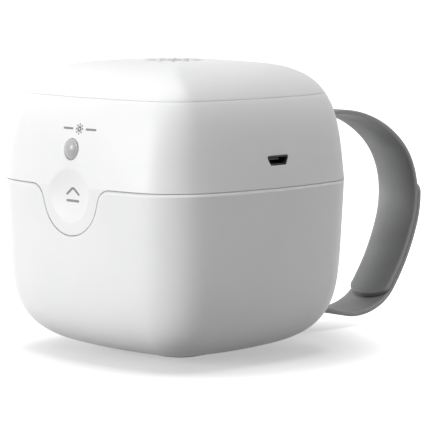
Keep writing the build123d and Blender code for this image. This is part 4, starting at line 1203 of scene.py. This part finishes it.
def silicone(name, dark, light, edge_highlight_colour):
    """Matt silicone: shade that varies along the band, a painted highlight along its edges, and a fine
    grain.
    """
    material = finish(name, [("Sheen Weight", 0.04), ("Sheen Roughness", 0.5), ("IOR", 1.38)])
    _, nodes, links = shader_of(material)
    along = own_place(material, attribute="along_across")
    split = nodes.new("ShaderNodeSeparateXYZ")
    links.new(along, split.inputs[0])
    way_out = maths(nodes, links, "ABSOLUTE", split.outputs["X"])
    half = STRAP_WIDTH / 2
    # Painted highlight: the colour turns lighter towards the band's two edges.
    edge = ramp(material, way_out, MM * (half - EDGE_HIGHLIGHT_START), MM * (half - EDGE_HIGHLIGHT_END), 0, 1)
    cloud = ramp(material, noise(material, scale=70, detail=5, place=along), 0.3, 0.7, 0, 1)
    tint(material, edge, mixed(material, cloud, dark, light), edge_highlight_colour)
    gloss(material, noise(material, scale=160, detail=2, place=along), 0.5, 0.6, low=0.2, high=0.8)
    lengthwise = own_place(material, stretch=BAND_STRETCH, attribute="along_across")
    grain(material, noise(material, scale=2600, detail=2, place=lengthwise), 12 * MICRON)
    grain(material, noise(material, scale=5200, detail=3, place=along), 8 * MICRON)
    return material


white_plastic = moulded("white_plastic", (0.83, 0.832, 0.838), (0.85, 0.85, 0.853), 0.4, 0.45, 3 * MICRON)
# The third colour is the painted highlight along the strap's edges.
strap_grey = silicone("strap_silicone", (0.235, 0.237, 0.24), (0.275, 0.277, 0.28), (0.38, 0.38, 0.385))
button_plastic = moulded("button_plastic", (0.46, 0.46, 0.466), (0.51, 0.51, 0.516), 0.16, 0.26, 2 * MICRON)
printed_ink = moulded("printed_ink", (0.21, 0.21, 0.215), (0.27, 0.27, 0.275), 0.35, 0.5, 5 * MICRON)
for piece, look in (
    [(o, white_plastic) for o in (base_shell, lid_band, lid_cap, base_knuckles, lid_knuckles, backing)]
    + [(mark, printed_ink) for mark in marks]
    + [(strap, strap_grey), (button, button_plastic)]
):
    piece.data.materials.append(look)


BORE_MARGIN = 0.1


def paint_shade_in_port_bore(piece, look):
    """Gives the faces inside the port's opening, below its rounded rim, a near-black painted shade of their
    own, for the shade that falls in the hole.
    """
    faces = piece.data.polygons
    centres = np.empty(3 * len(faces), np.float32)
    faces.foreach_get("center", centres)
    x, y, z = centres.reshape(-1, 3).T / MM
    within_y = np.abs(y) < PORT_WIDTH / 2 + BORE_MARGIN
    within_z = np.abs(z - PORT_Z) < PORT_HEIGHT / 2 + BORE_MARGIN
    near = (x > 0) & within_y & within_z
    deep = np.zeros(len(x), bool)
    deep[near] = x[near] < side_x_at(y[near], z[near]) - PORT_EDGE
    piece.data.materials.append(look)
    faces.foreach_set("material_index", deep.astype(np.int32))
    return int(deep.sum())


# Painted shade: the white wall inside the port is coloured near black, where shade falls in the hole.
port_bore_painted_shade = moulded("port_bore_painted_shade", (0.012, 0.012, 0.013), (0.022, 0.022, 0.024), 0.4, 0.55, 5 * MICRON)
print("bore faces painted:", paint_shade_in_port_bore(lid_band, port_bore_painted_shade))
print("outside finishes:", [m.name for m in (white_plastic, strap_grey, button_plastic, printed_ink)])

# %% [markdown]
# ### Finishes inside
#
# The cup is plastic with a bright film of aluminium on it, so that ultraviolet light reaches every
# side of a pacifier: a mirror with slow ripples and fine wiping marks. The boards, cell, screws and
# magnets are ordinary parts, and each gets the trait that tells it apart: copper tracks under green
# lacquer, a crinkled foil pouch, turning marks on steel, and grit in the plating of a magnet.

# %% Finishes of the inside
def metal(name, dark, light, smooth, rough, stretch, depth):
    """Bare metal: shade and gloss drawn out along one way, with marks of that depth."""
    material = finish(name, [("Metallic", 1.0)])
    drawn = own_place(material, stretch=stretch)
    marks_of_tool = noise(material, scale=900, detail=4, place=drawn)
    tint(material, ramp(material, marks_of_tool, 0.3, 0.7, 0, 1), dark, light)
    gloss(material, noise(material, scale=400, detail=3, place=drawn), smooth, rough)
    grain(material, marks_of_tool, depth)
    return material


def mirror_film(name):
    """Aluminium film on plastic: slow ripples of the wall under it, and faint wiping marks."""
    material = metal(name, (0.83, 0.84, 0.85), (0.91, 0.92, 0.93), 0.07, 0.2, (1, 1, 0.25), 1 * MICRON)
    grain(material, noise(material, scale=110, detail=1), 80 * MICRON)
    return material


def clear_plastic(name, colour, rough, index):
    """See-through plastic or quartz: faint streaks in the gloss and a slow wave."""
    material = finish(name, [("Transmission Weight", 1.0), ("IOR", index), ("Base Color", (*colour, 1))])
    gloss(material, noise(material, scale=300, detail=3), rough, rough + 0.08)
    grain(material, noise(material, scale=150, detail=2), 20 * MICRON)
    return material


def lacquered_board(name, lacquer, track):
    """A circuit board: tracks are the walls of square cells, lighter and raised under the lacquer."""
    material = finish(name, [("Coat Weight", 0.4), ("Coat Roughness", 0.15)])
    wall = cells(material, 420)
    line = ramp(material, wall, 0.05, 0.09, 1, 0)
    tint(material, line, lacquer, track)
    gloss(material, noise(material, scale=500, detail=2), 0.3, 0.45)
    grain(material, line, 30 * MICRON)
    return material


def crinkled_foil(name):
    """A foil pouch: creases are the walls of large uneven cells, with fine crinkles between them."""
    material = metal(name, (0.62, 0.63, 0.66), (0.76, 0.77, 0.8), 0.22, 0.38, (1, 1, 1), 10 * MICRON)
    grain(material, ramp(material, cells(material, 130), 0.0, 0.15, 1, 0), 120 * MICRON)
    return material


def grained(name, dark, light, smooth, rough, speck_scale, depth):
    """A matt moulded or fired piece with specks of a second shade and a grain of that size."""
    material = finish(name)
    specks = noise(material, speck_scale, detail=5)
    tint(material, ramp(material, specks, 0.4, 0.62, 0, 1), dark, light)
    gloss(material, noise(material, speck_scale / 4, detail=3), smooth, rough)
    grain(material, specks, depth)
    return material


steel = metal("stainless_steel", (0.5, 0.5, 0.52), (0.66, 0.66, 0.68), 0.22, 0.4, (0.15, 1, 1), 6 * MICRON)
plated = metal("nickel_plate", (0.56, 0.55, 0.52), (0.7, 0.69, 0.66), 0.12, 0.24, (1, 1, 1), 2 * MICRON)
# Painted shade: the steel socket is coloured near black, so that the port's opening reads as a dark hole.
socket_painted_shade = metal(
    "socket_painted_shade_steel", (0.03, 0.03, 0.032), (0.06, 0.06, 0.063), 0.4, 0.55, (1, 1, 0.3), 4 * MICRON
)
finishes_inside = {
    "base_liner": mirror_film("mirror_film"),
    "pacifier_rack": clear_plastic("clear_rack", (0.93, 0.95, 0.96), 0.12, 1.49),
    "uv_window": clear_plastic("quartz_glass", (0.97, 0.98, 1.0), 0.0, 1.46),
    "base_magnets": plated,
    "lid_magnets": plated,
    "hinge_pins": steel,
    "bracket_screws": steel,
    "lid_screws": steel,
    "board_screws": steel,
    "usb_socket": socket_painted_shade,
    "rest_pad": grained("pad_rubber", (0.3, 0.3, 0.31), (0.36, 0.36, 0.37), 0.55, 0.72, 1800, 20 * MICRON),
    "lid_gasket": grained(
        "gasket_rubber", (0.42, 0.42, 0.43), (0.5, 0.5, 0.51), 0.5, 0.65, 1500, 10 * MICRON
    ),
    "strap_bracket": moulded(
        "bracket_plastic", (0.26, 0.26, 0.265), (0.3, 0.3, 0.305), 0.38, 0.52, 10 * MICRON
    ),
    "strap_studs": moulded("stud_plastic", (0.2, 0.2, 0.205), (0.24, 0.24, 0.245), 0.3, 0.45, 6 * MICRON),
    "lid_ceiling": moulded(
        "ceiling_plastic", (0.78, 0.785, 0.79), (0.83, 0.83, 0.835), 0.38, 0.5, 8 * MICRON
    ),
    "lamp_reflector": moulded(
        "reflector_plastic", (0.84, 0.84, 0.84), (0.89, 0.89, 0.89), 0.15, 0.25, 3 * MICRON
    ),
    "cell_tray": moulded("tray_plastic", (0.72, 0.72, 0.72), (0.78, 0.78, 0.78), 0.42, 0.55, 10 * MICRON),
    "switch_plunger": moulded(
        "plunger_plastic", (0.6, 0.6, 0.58), (0.68, 0.68, 0.66), 0.35, 0.5, 10 * MICRON
    ),
    "lamp_board": lacquered_board("white_lacquer_board", (0.82, 0.82, 0.8), (0.66, 0.66, 0.63)),
    "main_board": lacquered_board("green_lacquer_board", (0.015, 0.11, 0.045), (0.05, 0.24, 0.09)),
    "uv_lamps": grained("lamp_ceramic", (0.72, 0.6, 0.34), (0.84, 0.76, 0.52), 0.3, 0.45, 2500, 8 * MICRON),
    "board_parts": grained(
        "chip_resin", (0.02, 0.02, 0.022), (0.045, 0.045, 0.05), 0.45, 0.65, 3500, 8 * MICRON
    ),
    "lid_sensor": grained(
        "sensor_resin", (0.018, 0.018, 0.02), (0.05, 0.05, 0.055), 0.3, 0.5, 3500, 6 * MICRON
    ),
    "usb_tongue": grained(
        "tongue_resin", (0.02, 0.02, 0.02), (0.06, 0.06, 0.06), 0.4, 0.55, 3000, 5 * MICRON
    ),
    "button_switch": grained(
        "switch_body", (0.03, 0.03, 0.032), (0.07, 0.07, 0.075), 0.35, 0.5, 3000, 6 * MICRON
    ),
    "battery_cell": crinkled_foil("cell_foil"),
}
for name, look in finishes_inside.items():
    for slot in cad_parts[name].material_slots:
        slot.material = look
replaced = sorted(set(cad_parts) - set(finishes_inside))
print("CAD pieces with a finish:", len(finishes_inside), "replaced:", replaced)

# %% [markdown]
# ## Studio
#
# The picture is a white-ground product shot: one large soft light from the front left, weaker ones
# from above, the right and the left rear, and a white sweep. A small light reaches the strap alone,
# so that its left side is light and its right side, away from that light, is dark. The floor is white
# to the camera where nothing shades it, and keeps the soft contact shadow. Its own colour is greyer,
# so that it doesn't light the case from below too much.

# %% Studio
FLOOR_WHITE, FLOOR_BOUNCE, FLOOR_LIFT, FLOOR_HALF = 0.6, 0.3, 0.42, 4.0
FADE_START, FADE_END = 0.038, 0.075
SHADOW_MIDDLE = (0.006, 0.006, 0.0)
SKY_STRENGTH, WHITE_STRENGTH = 0.165, 1.0
CASE_MIDDLE, CASE_LOW, STRAP_MIDDLE = (0, 0, 0.04), (0, 0, 0.03), (0, 0.07, 0.04)
# each lamp's name, place, aim, size and power, in metres and watts
LAMPS = (
    ("key_light", (-0.58, -1.98, 0.32), CASE_MIDDLE, 1.0, 43.0),
    ("top_light", (0.05, 0.0, 1.0), CASE_MIDDLE, 0.6, 5.7),
    ("side_light", (1.0, 0.25, 0.12), CASE_LOW, 0.24, 1.6),
    ("back_light", (-1.6, 0.45, 0.35), CASE_MIDDLE, 0.6, 9.0),
    ("strap_light", (-0.34, -0.48, 0.08), STRAP_MIDDLE, 0.1, 3.2),
)


def seen_directly(nodes, links):
    """1 for the rays that show the ground itself: from the camera, off gloss and through glass."""
    path = nodes.new("ShaderNodeLightPath")
    value = path.outputs["Is Camera Ray"]
    for kind in ("Is Glossy Ray", "Is Transmission Ray"):
        value = maths(nodes, links, "MAXIMUM", value, path.outputs[kind])
    return value


def make_floor():
    """A plane that takes the shadow near its middle and adds white for the camera, up to 1 farther off."""
    material, nodes, links = node_material("studio_floor")
    output = nodes.new("ShaderNodeOutputMaterial")
    seen = seen_directly(nodes, links)
    shade = nodes.new("ShaderNodeMapRange")
    shade.inputs["To Min"].default_value = FLOOR_BOUNCE
    shade.inputs["To Max"].default_value = FLOOR_WHITE
    links.new(seen, shade.inputs["Value"])
    diffuse = nodes.new("ShaderNodeBsdfDiffuse")
    links.new(shade.outputs["Result"], diffuse.inputs["Color"])
    glow = nodes.new("ShaderNodeEmission")
    way = nodes.new("ShaderNodeVectorMath")
    way.operation = "DISTANCE"
    way.inputs[1].default_value = SHADOW_MIDDLE
    links.new(nodes.new("ShaderNodeTexCoord").outputs["Object"], way.inputs[0])
    lift = smooth_range(nodes, links, way.outputs["Value"], FADE_START, FADE_END, FLOOR_LIFT, 1.0)
    links.new(maths(nodes, links, "MULTIPLY", seen, lift), glow.inputs["Strength"])
    both = nodes.new("ShaderNodeAddShader")
    links.new(diffuse.outputs[0], both.inputs[0])
    links.new(glow.outputs[0], both.inputs[1])
    links.new(both.outputs[0], output.inputs["Surface"])
    mesh = bpy.data.meshes.new("studio_floor")
    corners = [(FLOOR_HALF * x, FLOOR_HALF * y, 0) for x, y in ((-1, -1), (1, -1), (1, 1), (-1, 1))]
    mesh.from_pydata(corners, [], [(0, 1, 2, 3)])
    mesh.materials.append(material)
    floor = linked("studio_floor", mesh)


def background(nodes, strength):
    """White light of this strength from all round."""
    node = nodes.new("ShaderNodeBackground")
    node.inputs["Color"].default_value = (1, 1, 1, 1)
    node.inputs["Strength"].default_value = strength
    return node.outputs[0]


def make_world():
    """A dim even sky for the case, and plain white behind it for the camera, gloss and glass."""
    world = bpy.data.worlds.new("studio_world")
    world.use_nodes = True
    nodes, links = world.node_tree.nodes, world.node_tree.links
    nodes.clear()
    output = nodes.new("ShaderNodeOutputWorld")
    mix = nodes.new("ShaderNodeMixShader")
    links.new(seen_directly(nodes, links), mix.inputs[0])
    links.new(background(nodes, SKY_STRENGTH), mix.inputs[1])
    links.new(background(nodes, WHITE_STRENGTH), mix.inputs[2])
    links.new(mix.outputs[0], output.inputs["Surface"])
    bpy.context.scene.world = world


def area_light(name, place, aim, size, power):
    """A square soft light at place that faces aim, both in metres."""
    data = bpy.data.lights.new(name, "AREA")
    data.shape = "SQUARE"
    data.size = size
    data.energy = power
    lamp = linked(name, data)
    lamp.location = place
    lamp.rotation_euler = (Vector(aim) - Vector(place)).to_track_quat("-Z", "Y").to_euler()
    return lamp


make_floor()
make_world()
lamps = {name: area_light(name, *values) for name, *values in LAMPS}
strap_only = bpy.data.collections.new("strap_light_reaches")
strap_only.objects.link(strap)
lamps["strap_light"].light_linking.receiver_collection = strap_only
bpy.context.scene.view_settings.view_transform = "Standard"
print("lights:", sorted(lamps))
